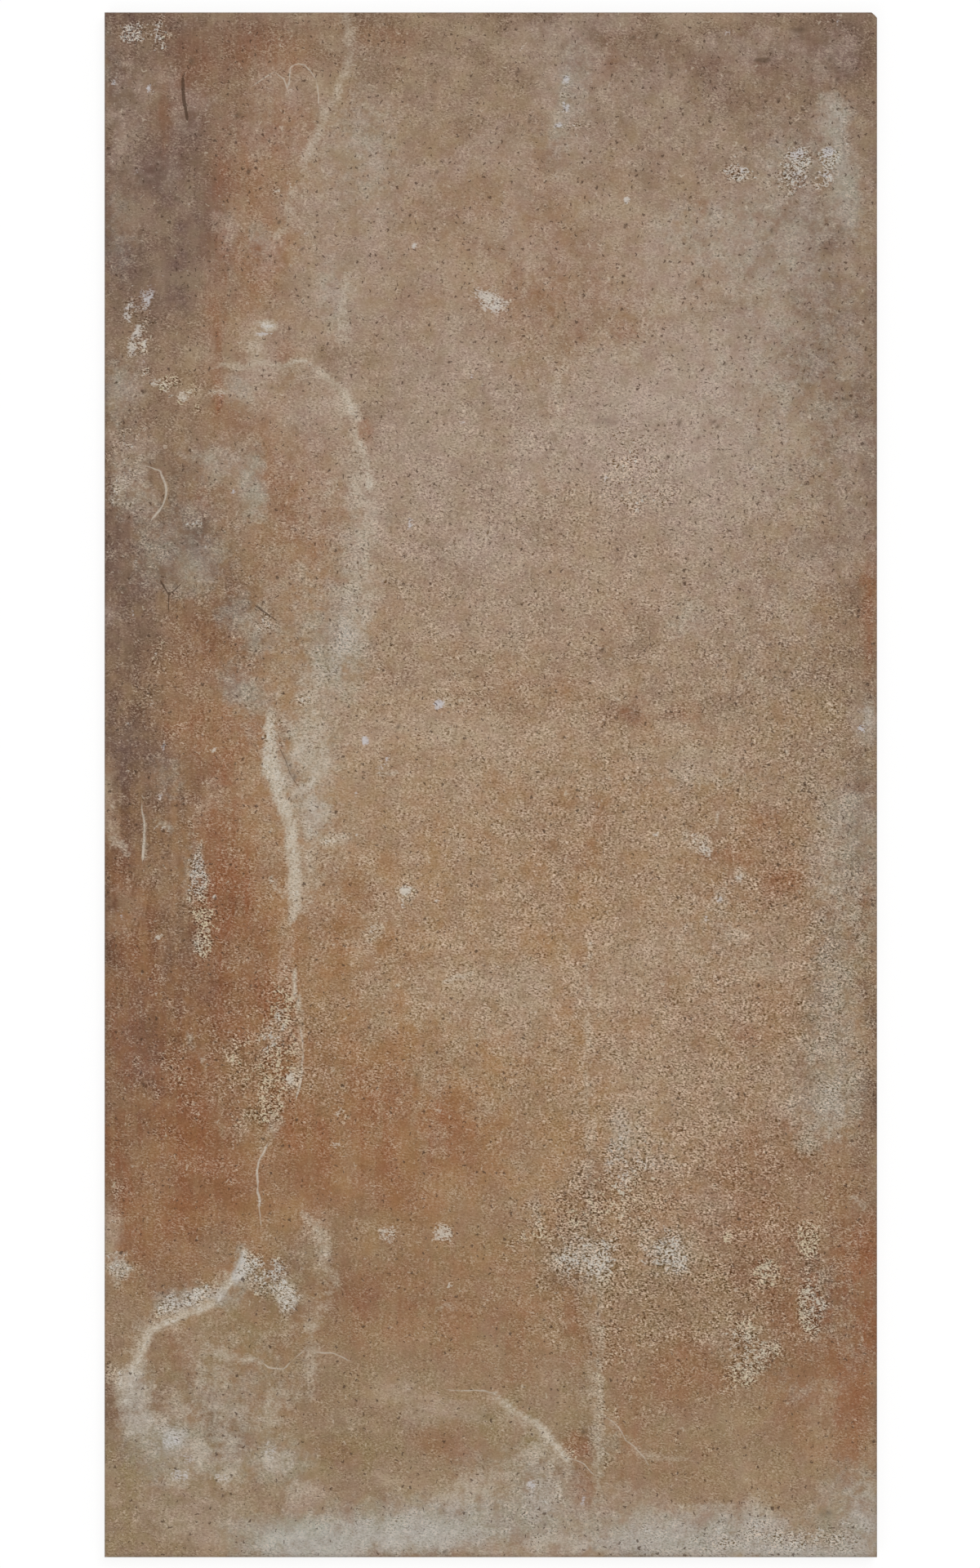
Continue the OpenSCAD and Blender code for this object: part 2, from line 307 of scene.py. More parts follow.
# Pale bloom: a bleached film, thickest in the upper half and right of the middle.
BLOOM = (
    # the top, left
    (-136, 275, 12, 8, 0.15), (-142, 262, 6, 16, 0.15), (-119, 263, 8, 10, 0.2),
    (-88, 262, 14, 16, 0.15), (-77, 268, 5, 8, 0.15), (-75, 270, 6, 8, 0.25), (-147, 254, 4, 12, 0.2),
    (-72, 249, 8, 8, 0.2), (-135, 240, 5, 6, 0.25), (-125, 239, 6, 8, 0.15), (-52, 235, 16, 26, 0.2),
    (-21, 239, 10, 8, 0.2), (-105, 215, 6, 14, 0.15), (-70, 215, 8, 20, 0.2), (-45, 218, 7, 16, 0.2),
    (-90, 205, 6, 8, 0.3), (-32, 200, 10, 8, 0.12), (-60, 192, 8, 14, 0.25), (-60, 190, 10, 12, 0.15),
    (-48, 190, 9, 10, 0.2), (-25, 175, 24, 20, 0.1), (-88, 168, 6, 12, 0.35), (-72, 174, 8, 8, 0.2),
    (-11, 168, 8, 11, 0.3), (-134, 160, 5, 8, 0.2), (-92, 156, 10, 6, 0.25), (-98, 150, 7, 6, 0.3),
    (-93, 143, 6, 8, 0.15), (-78, 142, 10, 8, 0.2), (-66, 148, 12, 12, 0.25), (-66, 138, 8, 8, 0.15),
    (-28, 150, 10, 20, 0.2), (-7, 148, 5, 4, 0.25), (-75, 130, 8, 10, 0.15),
    # the top, right
    (46, 297, 10, 5, 0.3), (21, 288, 12, 7, 0.2), (100, 288, 16, 8, 0.25), (130, 285, 14, 10, 0.2),
    (30, 278, 10, 30, 0.3), (40, 280, 6, 9, 0.2), (44, 273, 8, 8, 0.15), (60, 264, 16, 16, 0.15),
    (134, 260, 6, 7, 0.35), (0, 245, 10, 8, 0.25), (11, 235, 6, 12, 0.25), (31, 246, 10, 8, 0.2),
    (110, 238, 26, 14, 0.2), (138, 238, 5, 17, 0.35), (147, 236, 5, 28, 0.1), (8, 210, 7, 8, 0.2),
    (12, 213, 6, 10, 0.2), (64, 210, 10, 10, 0.1), (97, 220, 10, 9, 0.2), (19, 200, 10, 8, 0.2),
    (65, 200, 14, 8, 0.3), (100, 205, 30, 14, 0.2), (85, 185, 50, 80, 0.12), (92, 178, 26, 5, 0.25),
    (20, 170, 120, 110, 0.14), (86, 165, 22, 16, 0.4), (3, 160, 7, 16, 0.3), (60, 148, 26, 8, 0.2),
    (66, 134, 40, 27, 0.62),
    # the upper middle, left
    (-140, 122, 8, 17, 0.3), (-104, 125, 12, 7, 0.3), (-50, 115, 7, 24, 0.25),
    (-30, 115, 30, 26, 0.12), (-30, 120, 24, 20, 0.12), (-25, 120, 16, 40, 0.15),
    (-114, 104, 8, 5, 0.1), (-93, 113, 5, 12, 0.25), (-66, 112, 9, 24, 0.15), (-50, 98, 7, 26, 0.2),
    (-2, 90, 16, 9, 0.15), (-60, 78, 12, 8, 0.2), (-52, 74, 8, 8, 0.2), (-52, 74, 8, 8, 0.15),
    (-52, 75, 8, 6, 0.15), (-50, 73, 8, 8, 0.2), (-147, 62, 5, 8, 0.2), (-114, 56, 6, 6, 0.15),
    (-88, 60, 5, 5, 0.4), (-14, 64, 9, 5, 0.15), (-8, 61, 10, 6, 0.12), (-64, 44, 12, 16, 0.2),
    (-95, 34, 7, 6, 0.2), (-61, 38, 8, 6, 0.12), (-60, 37, 6, 6, 0.15), (-72, 24, 14, 16, 0.2),
    (-54, 24, 6, 8, 0.15), (-53, 22, 6, 6, 0.12), (-30, 20, 26, 6, 0.15, -10), (-30, 18, 34, 24, 0.18),
    (-20, 20, 40, 4, 0.35, -3), (-20, 28, 30, 14, 0.12), (-78, 7, 4, 8, 0.2), (-78, 8, 4, 8, 0.15),
    (-78, 8, 5, 6, 0.15), (-60, 8, 14, 30, 0.2), (-92, 0, 8, 12, 0.2),
    # the upper middle, right
    (16, 125, 10, 12, 0.35), (45, 125, 22, 16, 0.2), (65, 126, 14, 8, 0.15), (65, 126, 8, 6, 0.15),
    (66, 126, 16, 8, 0.2), (75, 120, 26, 18, 0.15), (145, 115, 10, 26, 0.2), (14, 111, 9, 6, 0.25),
    (55, 110, 10, 5, 0.3), (79, 106, 10, 6, 0.12), (108, 113, 6, 7, 0.25), (0, 91, 12, 8, 0.2),
    (2, 91, 12, 8, 0.15), (5, 92, 18, 14, 0.2), (82, 99, 12, 8, 0.2), (88, 92, 14, 12, 0.15),
    (86, 82, 10, 8, 0.15), (130, 85, 14, 12, 0.3), (0, 66, 30, 8, 0.12, -8), (20, 75, 30, 26, 0.12),
    (60, 66, 10, 8, 0.12), (80, 75, 30, 26, 0.14), (85, 70, 26, 14, 0.12), (100, 70, 9, 7, 0.25),
    (30, 60, 85, 100, 0.22), (75, 64, 9, 8, 0.35), (122, 57, 7, 4, 0.35), (41, 46, 10, 6, 0.12),
    (40, 40, 30, 5, 0.12, -6), (0, 22, 40, 7, 0.2), (68, 22, 6, 4, 0.3), (75, 28, 26, 20, 0.12),
    (146, 27, 5, 7, 0.4), (4, 15, 14, 8, 0.2), (20, 8, 26, 6, 0.15, -10), (52, 12, 12, 5, 0.15),
    (72, 11, 12, 5, 0.3), (72, 10, 14, 6, 0.25), (72, 8, 10, 6, 0.12), (72, 8, 9, 7, 0.2),
    (73, 8, 12, 6, 0.2), (82, 10, 14, 5, 0.2), (88, 8, 12, 8, 0.25), (130, 8, 10, 10, 0.15),
    (71, 5, 10, 4, 0.35), (107, 2, 8, 8, 0.15),
    # the lower middle, left
    (-148, -5, 5, 10, 0.25), (-147, -2, 4, 10, 0.3), (-107, -6, 8, 8, 0.2), (-8, -1, 12, 8, 0.15),
    (-147, -8, 4, 12, 0.25), (-142, -7, 5, 10, 0.15), (-115, -16, 6, 8, 0.15), (-84, -30, 4, 8, 0.2),
    (-66, -40, 8, 14, 0.15), (-2, -36, 12, 8, 0.15), (-142, -49, 6, 10, 0.2), (-140, -49, 6, 8, 0.2),
    (-80, -70, 4, 16, 0.2), (-20, -75, 34, 24, 0.14), (-18, -79, 8, 5, 0.15), (-86, -100, 6, 8, 0.15),
    (-84, -97, 6, 8, 0.2), (-87, -104, 6, 6, 0.12), (-20, -125, 24, 16, 0.1), (-97, -128, 8, 8, 0.15),
    # the lower middle, right
    (0, -13, 14, 6, 0.12), (140, -10, 10, 12, 0.35), (10, -40, 75, 70, 0.12), (131, -33, 8, 18, 0.3),
    (138, -40, 8, 16, 0.15), (62, -50, 10, 10, 0.15), (93, -43, 8, 6, 0.15), (104, -60, 9, 6, 0.3),
    (120, -62, 10, 10, 0.15), (0, -74, 26, 10, 0.15), (6, -75, 14, 8, 0.2), (6, -75, 12, 7, 0.22),
    (6, -74, 8, 5, 0.12), (45, -75, 26, 24, 0.1), (50, -78, 14, 10, 0.2), (60, -74, 10, 8, 0.12),
    (60, -74, 10, 6, 0.12), (63, -68, 7, 8, 0.3), (75, -72, 24, 18, 0.1), (109, -71, 8, 5, 0.3),
    (4, -88, 14, 6, 0.2), (8, -86, 30, 12, 0.15), (14, -80, 8, 7, 0.15), (40, -85, 50, 26, 0.15),
    (46, -80, 8, 8, 0.15), (134, -88, 9, 16, 0.15), (80, -95, 12, 8, 0.15), (80, -110, 30, 40, 0.08),
    (120, -109, 8, 8, 0.15), (52, -120, 8, 22, 0.2), (55, -125, 6, 18, 0.2), (60, -118, 8, 8, 0.15),
    (75, -125, 26, 26, 0.18), (115, -118, 8, 12, 0.2), (131, -122, 10, 20, 0.1),
    (120, -128, 14, 6, 0.15), (6, -150, 10, 6, 0.12), (51, -145, 7, 14, 0.35),
    # the foot, left
    (-147, -172, 4, 12, 0.3), (-146, -173, 5, 10, 0.3), (-144, -177, 5, 8, 0.2),
    (-142, -176, 6, 8, 0.15), (-68, -182, 5, 16, 0.25), (-145, -187, 5, 7, 0.3),
    (-84, -188, 8, 6, 0.2), (-72, -205, 6, 10, 0.2), (-116, -216, 8, 6, 0.2), (-121, -224, 6, 8, 0.2),
    (-138, -240, 8, 12, 0.15), (-118, -246, 18, 10, 0.12), (-106, -236, 16, 14, 0.15),
    (-33, -238, 9, 4, 0.3), (-10, -245, 10, 4, 0.35), (-88, -254, 14, 14, 0.1),
    (-62, -249, 8, 6, 0.15), (-24, -250, 10, 6, 0.12), (-21, -248, 10, 6, 0.15),
    (-118, -265, 14, 6, 0.2), (-98, -262, 10, 6, 0.15), (-120, -280, 26, 14, 0.1),
    (-76, -275, 9, 6, 0.2), (-72, -276, 9, 6, 0.3), (-1, -271, 8, 4, 0.3), (-114, -283, 16, 8, 0.25),
    (-70, -293, 26, 9, 0.2), (-30, -290, 34, 7, 0.22),
    # the foot, right
    (82, -156, 8, 6, 0.15), (85, -156, 7, 6, 0.2), (62, -172, 20, 8, 0.1), (62, -172, 30, 14, 0.15),
    (37, -185, 12, 9, 0.1), (88, -220, 8, 6, 0.15), (130, -240, 6, 14, 0.15), (20, -262, 9, 14, 0.08),
    (20, -276, 8, 12, 0.08), (53, -271, 8, 6, 0.15), (30, -294, 18, 4, 0.3), (35, -282, 40, 10, 0.25),
    (82, -285, 22, 4, 0.2), (88, -292, 36, 9, 0.3), (8, -297, 12, 4, 0.3), (9, -297, 8, 3, 0.2),
    (30, -296, 8, 4, 0.3), (128, -297, 20, 4, 0.3),
)

# Grey ash: the foot, the right edge and small places on the left.
ASH = (
    # the top, left
    (-149, 280, 4, 20, 0.1), (-50, 245, 14, 24, 0.15), (-145, 215, 8, 20, 0.12), (-91, 212, 4, 5, 0.3),
    (-60, 190, 7, 16, 0.15), (-147, 151, 5, 12, 0.2), (-142, 155, 8, 12, 0.12), (-98, 152, 5, 6, 0.25),
    # the top, right
    (34, 275, 6, 14, 0.2), (29, 266, 3, 12, 0.3), (134, 260, 6, 7, 0.3), (25, 250, 10, 10, 0.12),
    (120, 243, 12, 8, 0.2), (137, 238, 4.5, 19, 0.55, 8), (76, 216, 12, 10, 0.1),
    (100, 213, 26, 16, 0.15), (127, 190, 26, 90, 0.08), (100, 150, 40, 40, 0.08),
    # the upper middle, left
    (-141, 118, 6, 12, 0.15), (-104, 124, 11, 6, 0.12), (-91, 116, 4, 13, 0.45),
    (-125, 100, 24, 34, 0.1), (-51, 92, 7, 30, 0.12), (-118, 88, 14, 12, 0.2), (-98, 67, 7, 6, 0.3),
    (-88, 57, 6, 5, 0.3), (-70, 60, 24, 40, 0.12), (-101, 42, 7, 8, 0.15), (-60, 54, 9, 16, 0.4),
    (-95, 35, 7, 6, 0.3), (-93, 22, 6, 8, 0.1), (-126, 2, 7, 9, 0.15), (-73, 2, 12, 22, 0.22),
    # the upper middle, right
    (76, 64, 8, 8, 0.15), (110, 55, 24, 36, 0.08), (146, 25, 4, 7, 0.3), (80, 2, 30, 6, 0.12),
    # the lower middle, left
    (-68, -12, 6, 8, 0.15), (-115.5, -34, 5, 10, 0.3), (-113, -62, 4, 8, 0.1),
    # the lower middle, right
    (145, -5, 6, 36, 0.1), (138, -12, 7, 10, 0.2), (140, -34, 14, 26, 0.26), (86, -60, 16, 24, 0.1),
    (134, -65, 8, 22, 0.1), (134, -92, 11, 24, 0.3), (131, -124, 12, 17, 0.3), (51, -137, 5, 9, 0.3),
    (62, -135, 8, 12, 0.1), (124, -130, 8, 10, 0.15), (67, -145, 8, 8, 0.1),
    # the foot, left
    (-145, -187, 4, 5, 0.35), (-97, -188, 3, 7, 0.6), (-88, -191, 8, 7, 0.22),
    (-119, -200, 10, 5, 0.5, 18), (-104, -199, 6, 4, 0.35), (-79, -200, 4, 5, 0.3),
    (-95, -228, 24, 16, 0.12), (-138, -237, 6, 12, 0.3), (-105, -245, 26, 10, 0.08),
    (-124, -254, 6, 5, 0.55), (-133, -258, 8, 13, 0.25, 20), (-112, -258, 24, 12, 0.12),
    (-100, -262, 20, 8, 0.15), (-78, -266, 8, 8, 0.12), (-76, -263, 10, 8, 0.15),
    (-5, -262, 14, 6, 0.12), (-72, -294, 24, 8, 0.85), (-55, -288, 40, 8, 0.15),
    (-34, -291, 26, 6, 0.42), (-10, -287, 30, 9, 0.45),
    # the foot, right
    (15, -165, 8, 8, 0.12), (37, -185, 12, 9, 0.2), (69, -182, 9, 8, 0.3), (108, -189, 4, 6, 0.1),
    (125, -200, 6, 18, 0.12), (138, -205, 10, 40, 0.08), (102, -220, 12, 12, 0.12),
    (118, -233, 8, 8, 0.12), (42, -240, 2, 30, 0.1), (47, -255, 8, 6, 0.12), (13, -260, 10, 6, 0.1),
    (19, -275, 8, 13, 0.3), (141, -281, 12, 16, 0.35), (0, -285, 60, 14, 0.12), (86, -292, 37, 9, 0.6),
    (146, -293, 10, 7, 0.45), (60, -295, 30, 4, 0.25), (122, -298, 20, 4, 0.5),
)

# Yellow ground: the lower half.
OCHRE = (
    # the top, right
    (44, 141, 9, 3, 0.25), (87, 140, 4, 3, 0.3),
    # the upper middle, left
    (-80, 60, 40, 60, 0.1), (-10, 48, 20, 6, 0.2),
    # the upper middle, right
    (86, 84, 12, 5, 0.15), (90, 20, 50, 30, 0.05), (115, 10, 30, 30, 0.15),
    # the lower middle, left
    (-148, -6, 5, 12, 0.3), (-148, -94, 5, 16, 0.3), (-88, -112, 16, 20, 0.25),
    (-20, -110, 80, 40, 0.15), (-60, -120, 60, 60, 0.15), (-142, -150, 10, 60, 0.25),
    # the lower middle, right
    (135, -60, 16, 70, 0.2), (148, -58, 4, 16, 0.25), (130, -150, 20, 30, 0.15),
    # the foot, left
    (-78, -151, 3, 5, 0.5), (-20, -180, 40, 12, 0.2), (-80, -190, 20, 14, 0.3),
    (-90, -205, 14, 8, 0.3), (-110, -222, 24, 12, 0.15), (-108, -216, 22, 10, 0.25),
    (-125, -228, 8, 12, 0.35), (-110, -262, 36, 24, 0.3), (-62, -262, 24, 12, 0.5),
    (-140, -280, 16, 22, 0.6), (-122, -276, 36, 18, 0.4), (-55, -285, 40, 8, 0.2),
    (-96, -298, 10, 4, 0.3),
    # the foot, right
    (60, -185, 60, 14, 0.2), (0, -222, 110, 40, 0.35), (110, -212, 30, 22, 0.2),
    (40, -230, 10, 30, 0.2), (0, -255, 20, 10, 0.3), (5, -250, 12, 8, 0.25), (0, -268, 60, 12, 0.2),
    (90, -262, 60, 16, 0.3), (20, -285, 20, 12, 0.3), (131, -286, 8, 5, 0.5),
)

# Soft limewash.
LIME = (
    # the top, left
    (-87.5, 178, 3.5, 1.8, 0.7), (-90, 168, 3.5, 8, 0.22), (-57, 148, 5, 6, 0.15),
    # the top, right
    (134, 260, 4, 5, 0.15),
    # the upper middle, left
    (-142, 115, 7, 6, 0.2), (-62, 116, 2, 3, 0.3), (-53, 115, 3, 4, 0.3), (-89, 61, 4, 3, 0.2),
    (-53, 60, 6, 10, 0.2), (-69.5, 42, 4, 5, 0.35), (-72, 33, 4, 3, 0.3), (-16, 31, 3, 3, 0.2),
    (-75, 14, 3, 3, 0.3),
    # the upper middle, right
    (75, 64, 6, 6, 0.1), (146, 27, 3, 5, 0.35),
    # the lower middle, left
    (-69, -10, 4, 4, 0.3), (-66, -16, 2, 5, 0.25), (-61, -21, 6, 2.5, 0.5), (-33, -43, 3, 4, 0.3),
    (-46, -57, 4, 4, 0.25), (-77, -113, 3, 4, 0.35), (-84, -131, 3, 4, 0.3),
    # the lower middle, right
    (88, -12, 1.2, 4, 0.4), (76, -19, 2, 2, 0.5), (82, -24, 4, 4, 0.25), (97, -35, 2.5, 3, 0.3),
    (131, -34, 3, 10, 0.2), (84, -51, 1.5, 3, 0.3), (89, -45, 3.5, 4, 0.25), (95, -57, 6, 3, 0.3),
    (104, -69, 6, 4, 0.3), (51, -134, 4, 6, 0.25), (133, -128, 4, 12, 0.25),
    # the foot, left
    (-66, -178, 3.5, 9, 0.2), (-145, -187, 4, 5, 0.35), (-113, -198, 6, 3, 0.35),
    (-80, -198, 4, 6, 0.6), (-119, -202, 10, 3.5, 0.45, 18), (-105, -220, 4.5, 2.4, 0.35, -20),
    (-69, -211, 2.4, 2.6, 0.5), (-146, -229, 4, 4, 0.3), (-108, -231, 7, 4, 0.3),
    (-70, -224, 3, 8, 0.3), (-137, -236, 5, 6, 0.35), (-118, -245, 14, 6, 0.12),
    (-100, -246, 16, 6, 0.08), (-84.5, -241, 3, 8, 0.2), (-78, -238, 8, 4, 0.2),
    (-136, -249, 6, 6, 0.45), (-124, -254, 4.5, 4, 0.65), (-121, -270, 4, 4, 0.3),
    (-113, -262, 3, 6, 0.35), (-104, -258, 14, 5, 0.15), (-102, -270, 6, 5, 0.25),
    (-84, -262, 6, 4, 0.35), (-74, -273, 6, 4, 0.2), (-8, -275, 12, 6, 0.2), (-33, -293, 16, 4, 0.25),
    (-30, -291, 26, 5, 0.3), (-70, -296, 22, 6, 0.3),
    # the foot, right
    (30, -183, 4, 4, 0.2), (37, -184, 10, 6, 0.12), (44, -184, 3, 8, 0.25), (70, -181, 6, 4, 0.3),
    (20, -274, 7, 12, 0.2), (24, -293, 6, 3, 0.3), (60, -293, 16, 4, 0.15), (104, -283, 6, 8, 0.2),
    (144, -284, 8, 14, 0.2), (25, -296, 24, 4, 0.15), (86, -295, 37, 7, 0.25),
    (122, -298, 24, 3, 0.25),
)

# Strokes of limewash.
LIME_RUNS = (
    # the long run, from the top edge down the left of the tile
    (0.26, (-57, 301, 4), (-55, 292, 3.4), (-55, 283, 3), (-57, 276, 3), (-59, 270, 3)),
    (0.35, (-65, 263, 2.5), (-66, 257, 3.5), (-68, 252, 4), (-71, 246, 4), (-72, 240, 2)),
    (0.25, (-78, 234, 2.5), (-79, 226, 3), (-80, 219, 3), (-84, 213, 2)),
    (0.25, (-56, 200, 3), (-57, 190, 3), (-57, 181, 4), (-58, 173, 5)),
    (0.3, (-108, 162, 1.4), (-98, 162.5, 1.8), (-89, 162.5, 2), (-82, 163, 1.6)),
    (0.7, (-79, 164, 1.2), (-76, 164.8, 1.4), (-72, 163.8, 1.4), (-69.5, 162.3, 1.2)),
    (0.4, (-69.5, 162, 1.4), (-63, 157.5, 2), (-57, 153, 3.4), (-53, 146, 4), (-51.7, 142.5, 2)),
    (0.45, (-52.5, 138, 1.4), (-51, 133, 1.8), (-49, 128, 2), (-47.6, 122, 2.4), (-47.2, 116, 2.4)),
    (0.22, (-48.5, 119, 6), (-48.5, 112, 7), (-47.5, 103, 6), (-50, 94, 7), (-51, 84, 9), (-51, 74, 11),
     (-53, 64, 11), (-56, 54, 9), (-60, 46, 6)),
    (0.7, (-86, 29, 1.6), (-86, 22, 4), (-86, 14, 5), (-85, 6, 6.5), (-82.5, -3, 6), (-79.5, -11, 5),
     (-78, -19, 4.4), (-77, -28, 4.4), (-76.4, -38, 4), (-76.5, -48, 3.6), (-77, -53, 1.4)),
    (0.45, (-71, 32, 1.4), (-66.5, 24, 2.4), (-64.5, 15, 4), (-65.5, 7, 5), (-70, 1, 4), (-75, -2, 3)),
    (0.25, (-78, 27, 1.4), (-77, 19, 2), (-75.5, 11, 2.4), (-74, 6, 2)),
    (0.25, (-71, 24, 6), (-71, 12, 7), (-70, 5, 5)),
    (0.3, (-72, -6, 6), (-68, -10, 9), (-69, -20, 6)),
    (0.25, (-73, -26, 7), (-72, -38, 8), (-73, -48, 5)),
    (0.9, (-77.5, -67, 0.8), (-77, -74, 1.2), (-76, -82, 1.3), (-74.6, -88, 1.2)),
    (0.2, (-74.6, -88, 1.4), (-73.8, -96, 1.6), (-73.6, -108, 1.4)),
    # the lower-left run
    (1, (-95.6, -180, 1.2), (-96.4, -184, 2.6), (-97, -188.5, 4), (-99.8, -192, 2.6)),
    (0.6, (-98, -191, 3.4), (-103, -195, 2.6), (-106.5, -199, 2.4)),
    (0.3, (-107, -201.5, 2), (-112, -203.6, 2.4), (-117, -204.8, 2), (-125, -207.6, 2)),
    (0.4, (-124, -207.4, 2), (-129, -210, 2.6), (-132.9, -212.4, 3), (-134.6, -218, 3),
     (-136.4, -224, 4), (-138.6, -228.6, 5.4), (-142, -233, 7), (-142.5, -240, 5)),
    (0.4, (-107, -221, 3), (-103, -221, 3.5), (-99, -222.5, 1.8), (-94, -223, 1.6), (-90, -224, 1.2)),
    (0.3, (-73, -166, 2), (-68, -171, 3), (-65, -177, 4), (-64, -182, 4)),
    (0.16, (-64, -182, 5), (-62, -190, 6), (-64, -200, 5), (-68, -207, 3)),
    # the crack at the foot, and its neighbour
    (0.6, (0, -236, 1), (5, -240, 1.4), (12, -244.4, 1.6), (16, -248, 2), (20, -251.4, 2.4),
     (25, -256, 3), (29, -260.6, 2.6), (31, -263, 1.4)),
    (0.25, (46, -248, 1.6), (52, -253, 2.4), (57, -259, 3), (64, -262, 3), (76, -262, 2)),
    # the two straight lines of the lower right
    (0.2, (38, -62, 1.5), (38, -140, 2), (38.5, -200, 2)),
    (0.38, (42.6, -188, 1.6), (42.4, -236, 2.4), (42.2, -272, 2.8)),
    # small strokes
    (0.5, (-44, 5, 1.4), (-40, 4, 1.8), (-37, 4, 1.2)),
    (0.5, (-18, -77, 1.2), (-13, -75, 2.2), (-8, -74, 1.4)),
    (0.3, (-135, -11, 1.2), (-134.6, -19, 1.6), (-134.8, -28, 1.6)),
    (0.5, (-131, -14, 1.2), (-127, -16, 2.4), (-124.5, -17.5, 1.6)),
    (0.4, (-148, -21, 1.5), (-145, -23, 2.5), (-141, -27, 1.5)),
    (0.4, (-110.5, 154, 1.2), (-105, 152.6, 1.6), (-101, 152, 1.2)),
    (0.4, (140, -160, 1.4), (145, -164, 1.6)),
    (0.3, (41, -128, 1.4), (41, -138, 1.4)),
    (0.25, (-20.5, -203.5, 1.5), (-17, -202.6, 2), (-13.5, -203.5, 1.5)),
    (0.4, (-85, -36, 1.2), (-83, -40, 2), (-80, -43, 1.2)),
    (0.3, (-118, -96, 1.5), (-110, -110, 1.5)),
)

# Films with one sharp edge.
TIDES = (
    (0.16, 16, (-52, 318), (-57, 301), (-55.5, 287), (-57, 278), (-59, 270), (-65, 262), (-68, 252),
     (-72.5, 243), (-74, 236), (-79, 230), (-80, 219), (-85, 210), (-88, 196)),
    (0.24, 9, (-44, 76), (-44, 100), (-44, 112), (-47, 126), (-51, 135), (-51, 146), (-57, 156),
     (-69, 163), (-84, 165), (-97, 164), (-104, 160)),
    (0.35, 20, (-80, 50), (-87, 28), (-88.5, 12), (-87, 0), (-84, -8), (-81, -18), (-80, -30),
     (-79, -42), (-79, -50)),
    (0.18, 9, (-98, -164), (-91, -148), (-86, -140), (-83, -134), (-80, -128), (-77.5, -123),
     (-75, -118), (-73.5, -112), (-73, -105), (-73.5, -96), (-75, -86), (-76, -70)),
    (0.75, 3.4, (-146, -240), (-141, -232), (-137.4, -226), (-134.6, -217), (-131.6, -212),
     (-125, -209.4), (-117, -206.6), (-110, -204), (-105.4, -200.4), (-101.6, -195.6), (-97.5, -191),
     (-95, -186), (-94.4, -180), (-94.4, -174)),
    (0.1, 40, (-62, -150), (-84, -168), (-96, -181), (-99, -190), (-103, -195), (-109, -203),
     (-124, -207), (-134, -212), (-138, -222), (-143, -229), (-149, -240), (-152, -262)),
    (0.5, 4, (38, -270), (31.4, -263), (27, -257.6), (21, -251.8), (14, -246), (7, -241), (-3, -235)),
    (0.2, 26, (52, -292), (30, -263), (15, -254), (9, -262), (-8, -267), (-24, -277), (-38, -284),
     (-54, -287), (-74, -282), (-92, -300)),
    (0.2, 14, (124, -288), (108, -281), (90, -279), (72, -279.5), (54, -282)),
    (0.16, 34, (41, -290), (41, -200), (41, -120), (40, -50)),
    (0.18, 26, (20, 96), (27, 112), (28, 140), (27, 160), (58, 164), (64, 182), (100, 186), (124, 200)),
)

